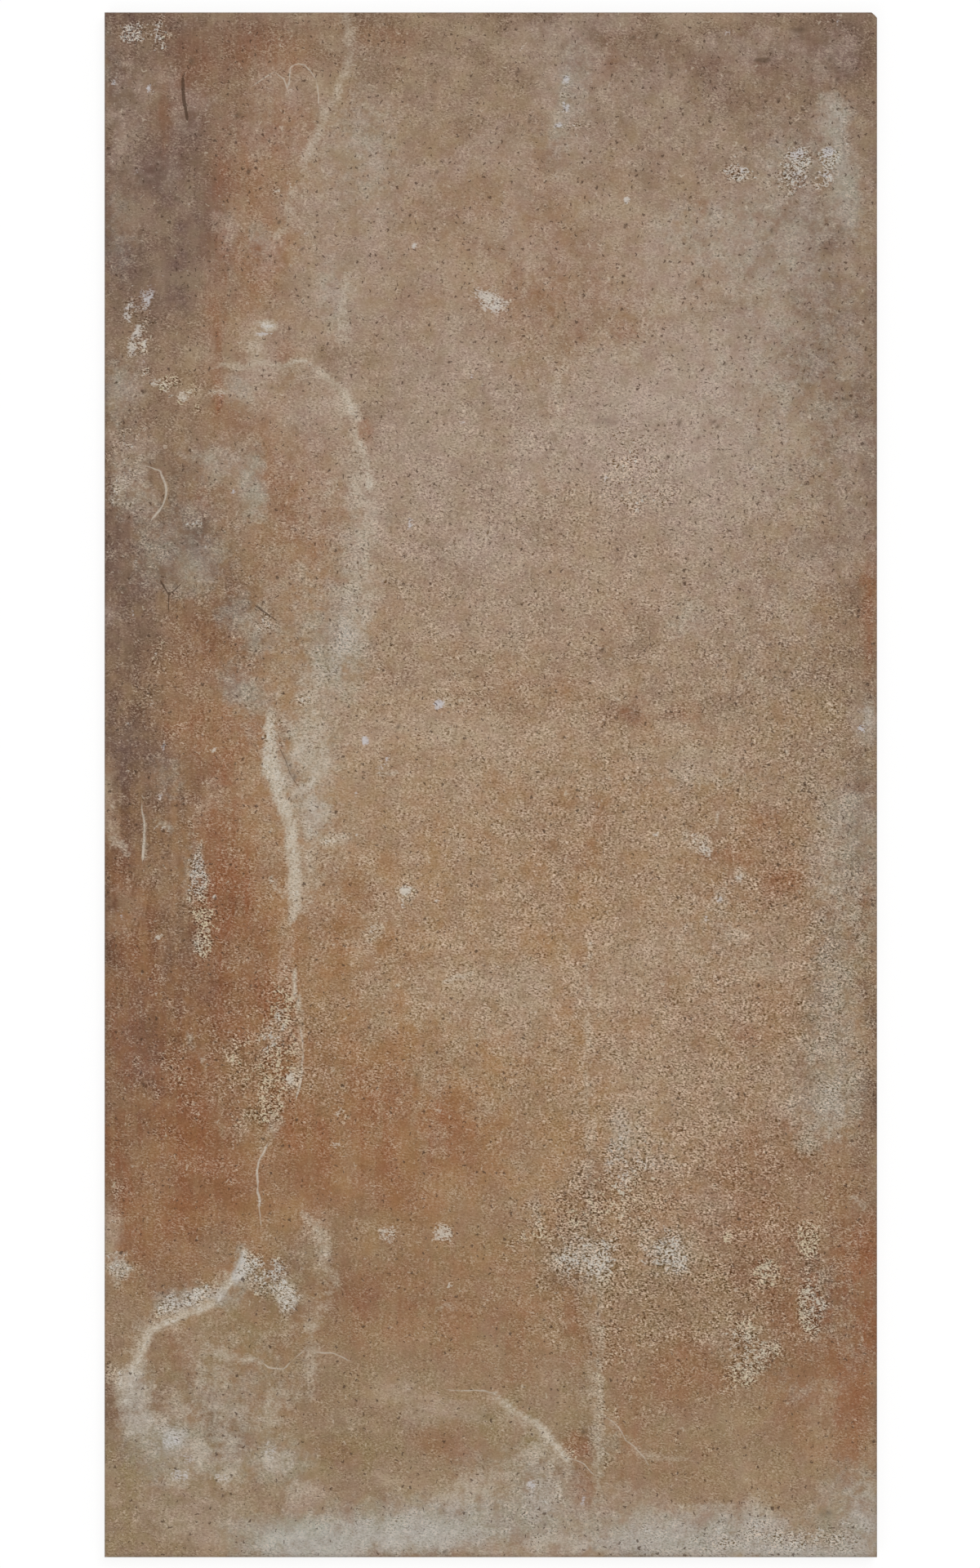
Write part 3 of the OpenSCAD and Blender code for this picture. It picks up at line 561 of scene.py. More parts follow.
# Small clean flecks of lime.
FLECKS = (
    # the top, left
    (-129.5, 291, 1.6, 4, 0.5, 25), (-146, 273, 1, 1.6, 0.7), (-132.5, 271, 1, 2.2, 0.95),
    (-137, 238, 0.9, 1.4, 0.7), (-83, 231, 1.6, 0.9, 0.6), (-78, 233, 1.2, 1, 0.6),
    (-72, 214, 1, 1, 0.5), (-74, 209, 1, 1, 0.5), (-29.5, 209, 1.1, 1.1, 0.9),
    (-138.4, 186, 0.7, 2, 0.7, 40), (-135.4, 190, 0.6, 2, 0.7, 30), (-133.5, 189, 2, 6, 0.42, -20),
    (-132.5, 188, 0.7, 2.6, 0.8, -20), (-95, 187, 1.2, 0.9, 0.5), (-141, 181, 0.9, 2.2, 0.6, 20),
    (-141, 184, 2, 3, 0.4), (-137.4, 176.5, 1.1, 2.8, 0.9, -30), (-89, 175, 2.4, 0.7, 0.7),
    (-87, 178, 3, 1.2, 0.7), (-85.5, 175, 1.4, 0.8, 0.6), (-139.6, 170, 1.3, 2.6, 0.55, 30),
    (-138, 172, 2.4, 6, 0.5, -25), (-134.6, 171, 0.6, 2, 0.8, 10), (-134, 164.5, 0.6, 1.6, 0.7),
    (-133.6, 159.5, 0.6, 1, 0.6), (-131.6, 155.4, 1.4, 0.9, 0.6), (-128, 156, 5, 2, 0.45, -20),
    (-127, 152.6, 1.7, 0.8, 0.6, -20), (-123.6, 151, 0.8, 0.8, 0.6), (-119, 151, 3, 2.4, 0.4),
    (-117, 153, 0.9, 1.4, 0.6), (-107, 151.6, 3, 0.5, 0.7, -8), (-7.5, 158, 1, 1, 0.6),
    (-119, 149.6, 1.6, 0.9, 0.55), (-11, 141, 1, 1, 0.6),
    # the top, right
    (82, 296, 4, 0.9, 0.35), (134.5, 296, 1.4, 1.4, 0.6), (11, 286, 1, 1, 0.6),
    (92, 292, 1.2, 1.4, 0.5), (29.3, 274, 1.2, 1.8, 0.85), (29, 263, 1, 2.4, 0.85),
    (26.4, 256, 1.6, 1.4, 0.85, 40), (36, 254, 3, 0.8, 0.4), (98, 239, 4, 1.6, 0.35),
    (119, 245, 3, 2.2, 0.6), (119, 236.5, 3.4, 1.8, 0.5), (129, 237, 3, 1.8, 0.5),
    (131, 245.5, 3, 2.6, 0.6), (53, 227, 1.1, 1.1, 0.9), (0, 188, 7.6, 4.4, 0.62, -25),
    # the upper middle, left
    (-100, 114, 1.2, 1.4, 0.7), (-40, 109, 1, 0.6, 0.5), (-31, 103, 1.4, 0.6, 0.6, -40),
    (-31, 101, 0.6, 3, 0.7, -30), (-139, 67, 1, 0.9, 0.6), (-130, 51, 0.9, 0.9, 0.6),
    (-43, 45, 1.6, 1, 0.4), (-132, 32, 1, 0.9, 0.7), (-20, 31, 2, 1.7, 1), (-127, 15, 1, 1.6, 0.7),
    (-108, 14, 0.8, 0.8, 0.8), (-49, 17, 1.4, 1.8, 1), (-41, 10, 1.3, 1.3, 0.8),
    (-43, 6, 2.6, 2.4, 0.35),
    # the upper middle, right
    (45, 119, 0.7, 0.8, 0.8), (102, 123, 0.8, 0.8, 0.8), (144, 22, 1.2, 1.8, 0.95),
    # the lower middle, left
    (-128.5, -5, 0.9, 0.8, 0.8), (-52.3, -3.5, 0.9, 0.9, 0.6), (-130, -16.2, 1.2, 0.6, 0.6, 20),
    (-126.6, -16.9, 1.7, 0.9, 0.8, -30), (-52, -19.5, 1, 0.9, 0.7), (-98, -31, 0.8, 0.8, 0.7),
    (-85, -37, 1.8, 0.7, 0.7, -50), (-33, -41, 2.2, 2, 1), (-144, -50, 1.2, 2.2, 0.5),
    (-108, -44, 0.8, 0.8, 1), (-85.5, -44, 0.7, 0.8, 1), (-34, -46, 0.9, 2.2, 0.7),
    (-21, -45, 1.2, 1.2, 0.6), (-129, -59, 1.6, 1, 0.7), (-46, -56, 1.6, 1.6, 0.7),
    (-135, -74, 1.4, 1, 0.6), (-130, -81, 1.2, 1, 0.6), (-102, -96, 1.4, 1.2, 0.5),
    (-78, -114, 2, 2.6, 0.7), (-58, -125, 1, 1.8, 0.5), (-59, -128, 1.2, 1, 0.5),
    (-100, -140, 0.9, 0.7, 0.7), (-90.6, -150, 0.5, 2, 0.5), (-60, -140, 1.6, 1.4, 0.5),
    # the lower middle, right
    (87.5, -13, 0.7, 2.2, 0.5), (64, -19, 1, 1, 0.9), (79, -20, 1, 1.6, 0.6, 30),
    (82, -24, 3.2, 3.4, 0.5), (85, -27, 1, 1.8, 0.6), (97, -36, 1.6, 2.2, 0.65),
    (84, -51, 0.8, 2, 0.5), (89, -45, 1.4, 2.4, 0.55, -30), (28, -64, 2, 0.9, 0.5),
    # the foot, left
    (-90, -162.5, 0.7, 1.4, 0.7), (-19, -174, 4.2, 3.6, 0.62), (-49, -184, 1.3, 1.3, 0.6),
    (-40, -174.5, 3.6, 3.8, 0.5), (-16, -195, 1.4, 1.4, 0.7), (-124, -255, 3.6, 3, 0.5),
    (-121, -268, 4, 3, 0.45), (-118, -261, 2.4, 2.4, 0.4), (-104, -270, 5, 2.2, 0.35),
    (-86, -259, 3, 3.2, 0.4),
    # the foot, right
    (143.5, -175, 0.9, 0.9, 0.6), (16, -272, 1.4, 2.6, 0.6), (36, -278, 0.9, 1.8, 0.7),
)

# Fine pale cracks, each a width at its start and end and its points.
HAIRLINES = (
    (0.55, 0.6, (-90, 273), (-84, 277), (-80, 274), (-79, 271), (-78, 273), (-78, 279), (-75, 280.5),
     (-72, 280), (-70, 277), (-68, 274), (-67, 267)),
    (0.9, 0.7, (-75, -119), (-73.6, -112), (-73, -105), (-73.5, -97)),
    (0.6, 0.6, (-90, -162), (-89.5, -168)),
    (0.5, 0.4, (45, -246), (49.5, -249), (53, -254.5), (57, -258), (60, -262)),
    (0.8, 0.5, (-90, -223.5), (-86, -226), (-80.5, -227), (-74, -221)),
    (0.6, 0.5, (-66, -220.6), (-61, -221), (-56, -223)),
    (0.5, 0.8, (-13.5, -235), (-6, -235.3), (0, -236)),
    (0.8, 0.6, (31, -262), (35, -263), (38, -266)),
    (0.7, 1.1, (-135.4, -11), (-134.6, -19), (-134.8, -27)),
    (0.7, 0.9, (-132, 123), (-128.5, 122), (-126.5, 116), (-126, 112), (-128, 107), (-130, 104.5)),
    (0.8, 1.1, (-88, -142), (-90.4, -147), (-90.9, -153), (-90.8, -158), (-89.8, -162)),
)

# Grains of lime lying loose, or the rough ground left where they broke away.
CRUMBS = (
    # the top, left
    (-140, 292, 6, 5, 0.7), (-129, 292, 4, 7, 0.5), (-83, 231, 3, 3, 0.4), (-137, 185, 6, 8, 0.4),
    (-136, 170, 4, 6, 0.4), (-133, 159, 2.5, 2.5, 0.5), (-127, 155, 2.5, 2.5, 0.6),
    (-123, 156, 2, 2, 0.5), (-116, 154, 2.5, 4, 0.5), (-121, 148, 2, 2, 0.5), (-114, 147, 2, 2, 0.5),
    # the top, right
    (29, 266, 2.4, 9, 0.35), (34, 255, 5, 2, 0.4), (91, 240, 1.5, 1.5, 0.5), (96, 237, 5, 4, 0.6),
    (105, 240, 18, 10, 0.15), (117, 238, 5, 6, 0.75), (120, 244, 4.5, 3.5, 0.9), (130, 235, 4, 4, 0.6),
    (131, 244, 4, 4.5, 0.9), (138, 240, 5, 16, 0.2), (0, 188, 6, 3.6, 0.6, -25),
    # the upper middle, left
    (-142, 122, 8, 20, 0.3), (-135, 90, 14, 8, 0.15), (-112, 100, 12, 7, 0.25), (-88, 61, 6, 5, 0.35),
    (-133, 35, 12, 40, 0.16), (-95.5, 34, 5, 4, 0.2), (-73, 31, 4, 3, 0.4), (-85, 21, 3, 6, 0.4),
    # the upper middle, right
    (52, 128, 8, 6, 0.35), (58, 112, 9, 6, 0.4),
    # the lower middle, left
    (-115, -15, 7, 12, 0.2), (-61, -21, 6, 3, 0.3), (-114, -38, 4, 11, 0.8), (-112, -50, 4, 4, 0.5),
    (-109, -53, 4, 4, 0.35), (-33, -43, 4, 5, 0.4), (-112, -61, 3.4, 10, 0.7), (-46, -57, 4, 4, 0.3),
    (-79, -72, 2, 5, 0.3), (-82, -86, 5, 8, 0.5), (-80, -92, 4, 12, 0.3), (-128, -108, 16, 32, 0.2),
    (-89, -106, 15, 15, 0.4), (-82, -110, 7, 8, 0.35), (-86, -126, 8, 7, 0.45),
    (-58, -126, 3, 4, 0.35), (-97, -130, 8, 6, 0.25),
    # the lower middle, right
    (83, -24, 5, 6, 0.3), (97, -40, 10, 8, 0.2), (53, -146, 8, 12, 0.2),
    # the foot, left
    (-146, -161, 4, 13, 0.3), (-68, -178, 6, 12, 0.25), (-39, -176, 4, 5, 0.3), (-19, -175, 5, 4, 0.4),
    (-145, -187, 5, 6, 0.5), (-112, -198, 6, 4, 0.5, 30), (-105, -190, 8, 6, 0.2),
    (-94, -186, 4, 4, 0.4), (-87, -190, 8, 9, 0.6), (-127, -207, 5, 3, 0.5, 30),
    (-120, -201, 10, 4, 0.6, 18), (-79, -200, 4.5, 6, 0.6), (-146, -229, 5, 5, 0.35),
    (-125, -253, 8, 6, 0.2), (-28, -290, 30, 9, 0.12),
    # the foot, right
    (50, -160, 18, 18, 0.3), (60, -152, 30, 24, 0.15), (25, -168, 16, 9, 0.35),
    (14, -178, 12, 5, 0.25), (30, -184, 4, 4, 0.4), (37, -185, 11, 8, 0.6), (44, -184, 4, 9, 0.4),
    (69, -183, 8, 8, 0.7), (91, -175, 2.4, 2.4, 0.7), (124, -177, 5, 8, 0.72),
    (85, -188, 12, 10, 0.18), (108, -189, 5, 7, 0.75), (100, -205, 24, 20, 0.14),
    (124, -203, 4.5, 11, 0.8), (50, -215, 9, 40, 0.2), (98, -212, 5, 5, 0.6), (103, -221, 10, 6, 0.55),
    (97, -229, 9, 4, 0.55), (43, -240, 1.6, 32, 0.3), (34, -257, 5, 6, 0.3), (72, -255, 2, 2, 0.5),
    (22, -264, 8, 12, 0.1), (84, -259, 2, 2, 0.5), (16, -280, 16, 16, 0.2), (100, -293, 54, 8, 0.25),
    (118, -293, 30, 4, 0.25),
)

# Single pits and small brown marks.
SCARS = (
    # the top, left
    (-116, 281, 1.2, 1.8, 0.5), (-98, 260, 1, 1.4, 0.6), (-22, 267, 0.8, 0.8, 0.6),
    (-129, 245, 0.9, 0.9, 0.6), (-94, 238, 0.9, 1.4, 0.8), (-21, 238, 0.9, 0.9, 0.6),
    (-122, 227, 1.2, 0.9, 0.7), (-82, 218.5, 0.9, 0.9, 0.7), (-31, 221, 1, 0.8, 0.6),
    (-73, 208, 1, 0.8, 0.7), (-134.5, 153, 1, 1, 0.6), (-85, 154, 1, 0.8, 0.5),
    # the top, right
    (55, 290, 1, 1, 0.6), (64, 291, 0.9, 1.1, 0.6), (119, 293, 4, 1.2, 0.45), (132, 282, 1, 1, 0.6),
    (11, 277, 1, 0.8, 0.6), (70, 276, 0.9, 0.9, 0.6), (105.5, 281.4, 3.4, 1.2, 0.7),
    (135, 274, 0.9, 0.9, 0.6), (15, 258, 1, 0.9, 0.6), (85, 259, 1.1, 0.9, 0.6),
    (110, 258, 0.9, 0.9, 0.6), (112, 266, 0.9, 0.9, 0.6), (99, 242, 1, 2.2, 0.5, 20),
    (111, 234, 0.9, 0.9, 0.6), (29, 219.5, 1, 0.8, 0.7), (52, 217, 0.9, 0.9, 0.6),
    (85, 222, 0.9, 0.9, 0.6), (109, 215, 1, 1, 0.6), (136.6, 216, 0.9, 1.4, 0.5),
    (108, 209, 0.9, 0.9, 0.5), (24, 178, 0.9, 0.9, 0.6), (135, 181, 1.2, 1, 0.4),
    (42, 168.5, 1, 0.8, 0.6), (90.5, 163, 0.8, 1.2, 0.6), (73, 161, 1, 0.9, 0.5), (45, 141, 6, 2, 0.3),
    (47, 149, 5, 1.2, 0.2), (70, 147, 3, 1.4, 0.28), (73, 140, 1.2, 0.9, 0.7),
    (84.6, 143, 0.8, 0.8, 0.5), (86, 141, 0.9, 1.3, 0.6), (88.6, 139, 0.9, 0.9, 0.6),
    (89, 142.5, 0.8, 1.1, 0.5), (138, 150, 1, 1, 0.5), (81, 135, 0.9, 0.9, 0.6), (100, 131, 3, 4, 0.2),
    # the upper middle, left
    (-42, 104, 5, 2.4, 0.25, -20), (-143, 76, 1.4, 1, 0.5), (-36, 23, 1, 0.9, 0.6),
    (-117, 12, 0.5, 6, 0.25), (-79, 9, 1.1, 5, 0.35, 28), (-76.5, 3, 0.9, 2.2, 0.5, 30),
    # the upper middle, right
    (69, 127, 1, 0.9, 0.6), (53, 116, 8, 2.4, 0.22), (80, 122, 7, 2, 0.2, 20), (88, 110, 1, 1, 0.5),
    (14, 82, 0.9, 2, 0.4), (43, 52, 1, 1, 0.6), (57, 27, 4, 3, 0.25), (110, 2, 5, 3, 0.2),
    # the lower middle, left
    (-124, -20, 0.5, 8, 0.25, 5), (-121, -30, 0.5, 7, 0.3, 8), (-116, -20, 0.6, 5, 0.4),
    (-119, -36, 0.6, 5, 0.35, 10), (-110, -42, 0.7, 4, 0.4),
    # the foot, left
    (-44, -291, 1, 0.8, 0.6), (-18, -298, 1, 0.8, 0.6),
    # the foot, right
    (36, -251, 1.4, 1, 0.6), (21, -288, 1, 0.8, 0.6), (130, -283, 4, 2, 0.3), (40, -297, 1, 0.8, 0.6),
)

# Dark scratches, written as the hairlines are.
SCRATCHES = (
    (1.4, 1.3, (-119.6, 272), (-119.4, 267), (-118.4, 261)),
    (0.3, 0.2, (-81, 12), (-77.4, 3), (-75.6, 0.4)),
    (0.9, 0.5, (-89, 68), (-85, 65)),
    (0.7, 0.5, (-127, 77), (-125, 74), (-125, 71)),
    (0.6, 0.5, (-125, 74), (-122.6, 76)),
)

# How coarse the grain of the surface is: 0 is smooth, 1 is sandy.
SANDY = (
    (20, 60, 110, 90, 0.4), (40, -70, 110, 60, 0.55), (75, -160, 50, 60, 0.6), (75, -190, 56, 26, 0.5),
    (-115, -60, 34, 110, 0.1), (-80, -110, 30, 26, 0.35), (40, 0, 60, 40, 0.2),
    (110, -90, 34, 60, 0.3), (40, -168, 26, 16, 0.5), (70, -140, 30, 30, 0.2), (132, -60, 18, 90, 0.4),
    (115, 20, 34, 50, 0.3), (58, 118, 16, 14, 0.5),
)

# Where the face is peppered with small dark pits.
PITTED = (
    (30, 200, 110, 110, 0.3), (130, 150, 30, 60, 0.45), (100, 270, 50, 30, 0.25),
    (30, 60, 90, 60, 0.2), (-110, 245, 30, 50, 0.15), (115, 30, 36, 70, 0.2), (96, -284, 26, 4, 0.8),
    (128, 0, 26, 60, 0.35), (80, 130, 50, 40, 0.2),
)


def soft_step(low, high, value):
    """0 at `low`, 1 at `high` and an easy curve between them, whichever of the two is larger."""
    t = np.clip((value - low) / (high - low), 0, 1)
    return t * t * (3 - 2 * t)


def value_noise(x, y, size, seed):
    """Smooth random heights from 0 to 1, with a fresh one every `size` millimetres."""
    table = np.random.default_rng(seed).random((128, 128))
    u, v = x / size, y / size
    column, row = np.floor(u).astype(int), np.floor(v).astype(int)
    u, v = soft_step(0, 1, u - column), soft_step(0, 1, v - row)
    near = table[column % 128, row % 128] * (1 - u) + table[(column + 1) % 128, row % 128] * u
    far = table[column % 128, (row + 1) % 128] * (1 - u) + table[(column + 1) % 128, (row + 1) % 128] * u
    return near * (1 - v) + far * v


def cloud(x, y, size, seed):
    """Three sizes of random heights laid over each other, from 0 to 1."""
    coarse = value_noise(x, y, size, seed)
    middle = value_noise(x, y, size / 2, seed + 100)
    return 0.55 * coarse + 0.29 * middle + 0.16 * value_noise(x, y, size / 4, seed + 200)


def wander(x, y, reach, size, seed):
    """The same points, each pushed up to `reach` mm, so that what is painted there has ragged edges."""
    return x + reach * (2 * cloud(x, y, size, seed) - 1), y + reach * (2 * cloud(x, y, size, seed + 1) - 1)


def patches(x, y, rows, fade):
    """Soft patches laid over each other, dying away over the share `fade` of their half width."""
    bare = np.ones_like(x)
    for centre_x, centre_y, half_width, half_height, strength, *turned in rows:
        turn = math.radians(turned[0]) if turned else 0.0
        across = (x - centre_x) * math.cos(turn) + (y - centre_y) * math.sin(turn)
        along = (y - centre_y) * math.cos(turn) - (x - centre_x) * math.sin(turn)
        reach = np.hypot(across / half_width, along / half_height)
        bare *= 1 - strength * soft_step(1 + fade, 1 - fade, reach)
    return 1 - bare


def legs(x, y, points):
    """For each leg of a line: how far off it is, on which side (left is positive), and the way along it."""
    for (x0, y0, *_), (x1, y1, *_) in zip(points, points[1:]):
        run_x, run_y = x1 - x0, y1 - y0
        length = math.hypot(run_x, run_y)
        way = np.clip(((x - x0) * run_x + (y - y0) * run_y) / length**2, 0, 1)
        away = np.hypot(x - x0 - way * run_x, y - y0 - way * run_y)
        side = ((y - y0) * run_x - (x - x0) * run_y) / length
        yield away, side, way


def strokes(x, y, rows):
    """Soft-edged strokes laid over each other."""
    bare = np.ones_like(x)
    for strength, *points in rows:
        reach = np.full_like(x, np.inf)
        for (away, _, way), (_, _, w0), (_, _, w1) in zip(legs(x, y, points), points, points[1:]):
            reach = np.minimum(reach, away / (0.5 * (w0 + way * (w1 - w0))))
        bare *= 1 - strength * soft_step(1.5, 0.5, reach)
    return 1 - bare


def tides(x, y, rows):
    """Films laid over each other, each with one sharp edge, on the left of its points."""
    bare = np.ones_like(x)
    for strength, fade, *points in rows:
        nearest, inside, share = np.full_like(x, np.inf), np.zeros_like(x), np.zeros_like(x)
        for number, (away, side, way) in enumerate(legs(x, y, points)):
            tied = np.abs(away - nearest) < TOUCH
            closer = (away < nearest - TOUCH) | (tied & (np.abs(side) > np.abs(inside)))
            nearest = np.where(closer, away, nearest)
            inside = np.where(closer, side, inside)
            share = np.where(closer, (number + way) / (len(points) - 1), share)
        film = 0.45 * np.exp(-nearest / TIDE_CREST) + 0.55 * np.exp(-nearest / fade)
        film = film * soft_step(-1, 1, np.sign(inside) * nearest)
        bare *= 1 - strength * film * soft_step(0, 0.2, share) * soft_step(1, 0.8, share)
    return 1 - bare


def fine_lines(x, y, rows):
    """Lines too fine for the mesh: how far each point lies beside the nearest one, and its width there."""
    nearest = np.full_like(x, FAR_OFF)
    offset = np.full_like(x, FAR_OFF)
    width = np.zeros_like(x)
    for start_width, end_width, *points in rows:
        for number, (away, side, way) in enumerate(legs(x, y, points)):
            share = (number + way) / (len(points) - 1)
            closer = away < nearest
            nearest = np.where(closer, away, nearest)
            offset = np.where(closer, side, offset)
            width = np.where(closer, start_width + share * (end_width - start_width), width)
    return offset, width * soft_step(3.2, 2.2, nearest)


def weather(x, y):
    """Everything painted on the face, by the name of its coat, at each of the points x, y.

    Each wander is how far the paint strays, the size of its waves, both in millimetres, and a seed.
    """
    wide = wander(*wander(x, y, 8, 30, 1), 4, 9, 5)
    near = wander(*wander(x, y, 2.4, 10, 9), 1.6, 3.6, 13)
    hair_offset, hair_width = fine_lines(*wander(x, y, 0.8, 5, 17), HAIRLINES)
    cut_offset, cut_width = fine_lines(*wander(x, y, 0.4, 5, 21), SCRATCHES)
    ragged = wander(x, y, 1.6, 8, 25)
    no_lime = (1 - patches(*near, LIME, 0.6)) * (1 - strokes(*ragged, LIME_RUNS))
    no_lime = no_lime * (1 - tides(*ragged, TIDES))
    edge = np.minimum(WIDTH / 2 - np.abs(x), LENGTH / 2 - np.abs(y))
    return {
        "tawny": patches(*wide, TAWNY, 0.9),
        "umber": patches(*wide, UMBER, 0.9),
        "rust": 1 - (1 - patches(*wide, RUST, 0.7)) * (1 - patches(*near, RUST_MARKS, 0.6)),
        "smoke": patches(*wide, SMOKE, 0.7),
        "bloom": patches(*wide, BLOOM, 0.7),
        "ochre": patches(*wide, OCHRE, 0.7),
        "ash": patches(*near, ASH, 0.8),
        "lime": 1 - no_lime,
        "flecks": patches(*wander(x, y, 0.7, 2.6, 27), FLECKS, 0.6),
        "crumbs": patches(*near, CRUMBS, 0.6),
        "scars": patches(x, y, SCARS, 0.6),
        "sandy": patches(*wide, SANDY, 0.7),
        "pitted": patches(*wide, PITTED, 0.7),
        "hair_offset": hair_offset,
        "hair_width": hair_width * soft_step(0.2, 0.5, cloud(x, y, 6, 43)),
        "cut_offset": cut_offset,
        "cut_width": cut_width,
        # rim: painted edge shade, strongest at the face's edge and gone 1.2 mm inside it
        "rim": soft_step(1.2, 0.0, edge),
    }


# ---------------------------------------------------------------- the blank

def edge_ring(mesh, edges, outset, drop):
    """Carries a loop of edges outwards by `outset` and down by `drop` millimetres; returns the new loop."""
    made = bmesh.ops.extrude_edge_only(mesh, edges=edges)["geom"]
    half_x = max(abs(v.co.x) for e in edges for v in e.verts)
    half_y = max(abs(v.co.y) for e in edges for v in e.verts)
    for vert in (g for g in made if isinstance(g, bmesh.types.BMVert)):
        at_side = abs(vert.co.x) > half_x - TOUCH * MM
        at_end = abs(vert.co.y) > half_y - TOUCH * MM
        vert.co.x += outset * MM * at_side * math.copysign(1, vert.co.x)
        vert.co.y += outset * MM * at_end * math.copysign(1, vert.co.y)
        vert.co.z -= drop * MM
    return [g for g in made if isinstance(g, bmesh.types.BMEdge)]


def grid(mesh, cells, width, length, height):
    """A flat sheet of cells, centred, at a height above the bed; returns its corners."""
    spread = Matrix.Diagonal((width / 2 * MM, length / 2 * MM, 1, 1))
    place = Matrix.Translation((0, 0, height * MM)) @ spread
    made = bmesh.ops.create_grid(mesh, x_segments=cells[0], y_segments=cells[1], size=1, matrix=place)
    return made["verts"]


def open_edges(mesh):
    """The edges that still have a face on one side only."""
    return [e for e in mesh.edges if e.is_boundary]


def press_back(mesh):
    """The ribbed back: a field of pockets pressed upwards, joined to the chamfer's loop by a plain band."""
    margin = 2 * (HEEL_WIDTH + BACK_BAND) - RIB_CROWN
    verts = grid(mesh, POCKETS, WIDTH - margin, LENGTH - margin, 0)
    faces = list({f for v in verts for f in v.link_faces})
    for run in (RIB_CROWN / 2, POCKET_DRAFT):
        bmesh.ops.inset_individual(mesh, faces=faces, thickness=run * MM, use_even_offset=True)
    floors = {v for f in faces for v in f.verts}
    bmesh.ops.translate(mesh, verts=list(floors), vec=(0, 0, POCKET_DEPTH * MM))
    bmesh.ops.triangle_fill(mesh, edges=open_edges(mesh), use_beauty=True, normal=(0, 0, -1))


def build_blank():
    """The whole tile as one closed shell: face, bevel, sides, chamfer and ribbed back."""
    mesh = bmesh.new()
    grid(mesh, FACE_CELLS, WIDTH - 2 * ARRIS, LENGTH - 2 * ARRIS, THICKNESS)
    rim = open_edges(mesh)
    for out, down in BEVEL_STEPS:
        rim = edge_ring(mesh, rim, ARRIS * out, ARRIS * down)
    rim = edge_ring(mesh, rim, 0, THICKNESS - ARRIS - HEEL_HEIGHT)
    edge_ring(mesh, rim, -HEEL_WIDTH, HEEL_HEIGHT)
    for vert in mesh.verts:
        past = vert.co.x + vert.co.y - (WIDTH / 2 + LENGTH / 2 - CORNER_NIP) * MM
        if past > 0:
            vert.co -= Vector((past / 2, past / 2, 0))
    shoulder = (THICKNESS - ARRIS - 0.0001) * MM
    for f in mesh.faces:
        f.material_index = 0 if all(v.co.z > shoulder for v in f.verts) else 1
        f.smooth = True
    old = set(mesh.faces)
    press_back(mesh)
    for f in set(mesh.faces) - old:
        f.material_index = 1
    bmesh.ops.recalc_face_normals(mesh, faces=mesh.faces)
    unwrap(mesh)
    data = bpy.data.meshes.new("worn_tile")
    mesh.to_mesh(data)
    mesh.free()
    return data


def unwrap(mesh):
    """One map for the bake: the face on its left two thirds, the back beside it, the edges on its right."""
    layer = mesh.loops.layers.uv.new("OFBake")
    for f in mesh.faces:
        facing = f.normal.z
        for loop in f.loops:
            x = loop.vert.co.x / (WIDTH * MM) + 0.5
            y = loop.vert.co.y / (LENGTH * MM) + 0.5
            z = loop.vert.co.z / (THICKNESS * MM)
            if facing > 0.9:
                loop[layer].uv = (MAP_FACE * x, y)
            elif facing < -0.5:
                loop[layer].uv = (MAP_BACK_START + MAP_BACK * x, y)
            elif abs(f.normal.x) > abs(f.normal.y):
                loop[layer].uv = (MAP_SIDES_START + MAP_EDGE * z + MAP_NEXT_EDGE * (f.normal.x > 0), y)
            else:
                loop[layer].uv = (MAP_ENDS_START + MAP_EDGE * z + MAP_NEXT_EDGE * (f.normal.y > 0), x)


def wear_down(coats, x, y, z):
    """Sinks the face by what is painted on it: a gentle wave, pits, and bare ground beside the lime."""
    on_face = z > (THICKNESS - TOUCH) * MM
    wave = WAVE_DEPTH * cloud(x, y, 90, 31) + RIPPLE_DEPTH * cloud(x, y, 22, 33)
    pits = SCAR_DEPTH * coats["scars"] + SAND_DEPTH * coats["sandy"] * value_noise(x, y, 2.9, 35)
    bare = LIME_THICKNESS * (1 - coats["lime"]) * (1 - 0.5 * coats["crumbs"])
    inland = soft_step(0.3, 6, np.minimum(WIDTH / 2 - np.abs(x), LENGTH / 2 - np.abs(y)))
    return np.where(on_face, z - (wave + pits + bare) * inland * MM, z)


def show(name, data):
    """Puts a mesh, a lamp or a lens into the scene, as an object at the origin."""
    piece = bpy.data.objects.new(name, data)
    bpy.context.scene.collection.objects.link(piece)
    return piece


def make_tile():
    """The blank, with its coats painted on as attributes and its face worn down under them."""
    data = build_blank()
    places = np.empty(len(data.vertices) * 3, np.float32)
    data.vertices.foreach_get("co", places)
    places = places.reshape(-1, 3)
    x, y = places[:, 0] / MM, places[:, 1] / MM
    coats = weather(x, y)
    for name, values in coats.items():
        layer = data.attributes.new(name, "FLOAT", "POINT")
        layer.data.foreach_set("value", values.astype(np.float32))
    places[:, 2] = wear_down(coats, x, y, places[:, 2])
    data.vertices.foreach_set("co", places.ravel())
    data.update()
    return show("worn_tile", data)


# ---------------------------------------------------------------- finishes

def colour(hexadecimal):
    """A colour as a shader wants it, from the six hex digits a maker would note down."""
    parts = [int(hexadecimal[i:i + 2], 16) / 255 for i in (1, 3, 5)]
    linear = [p / 12.92 if p <= 0.04045 else ((p + 0.055) / 1.055) ** 2.4 for p in parts]
    return (*linear, 1)


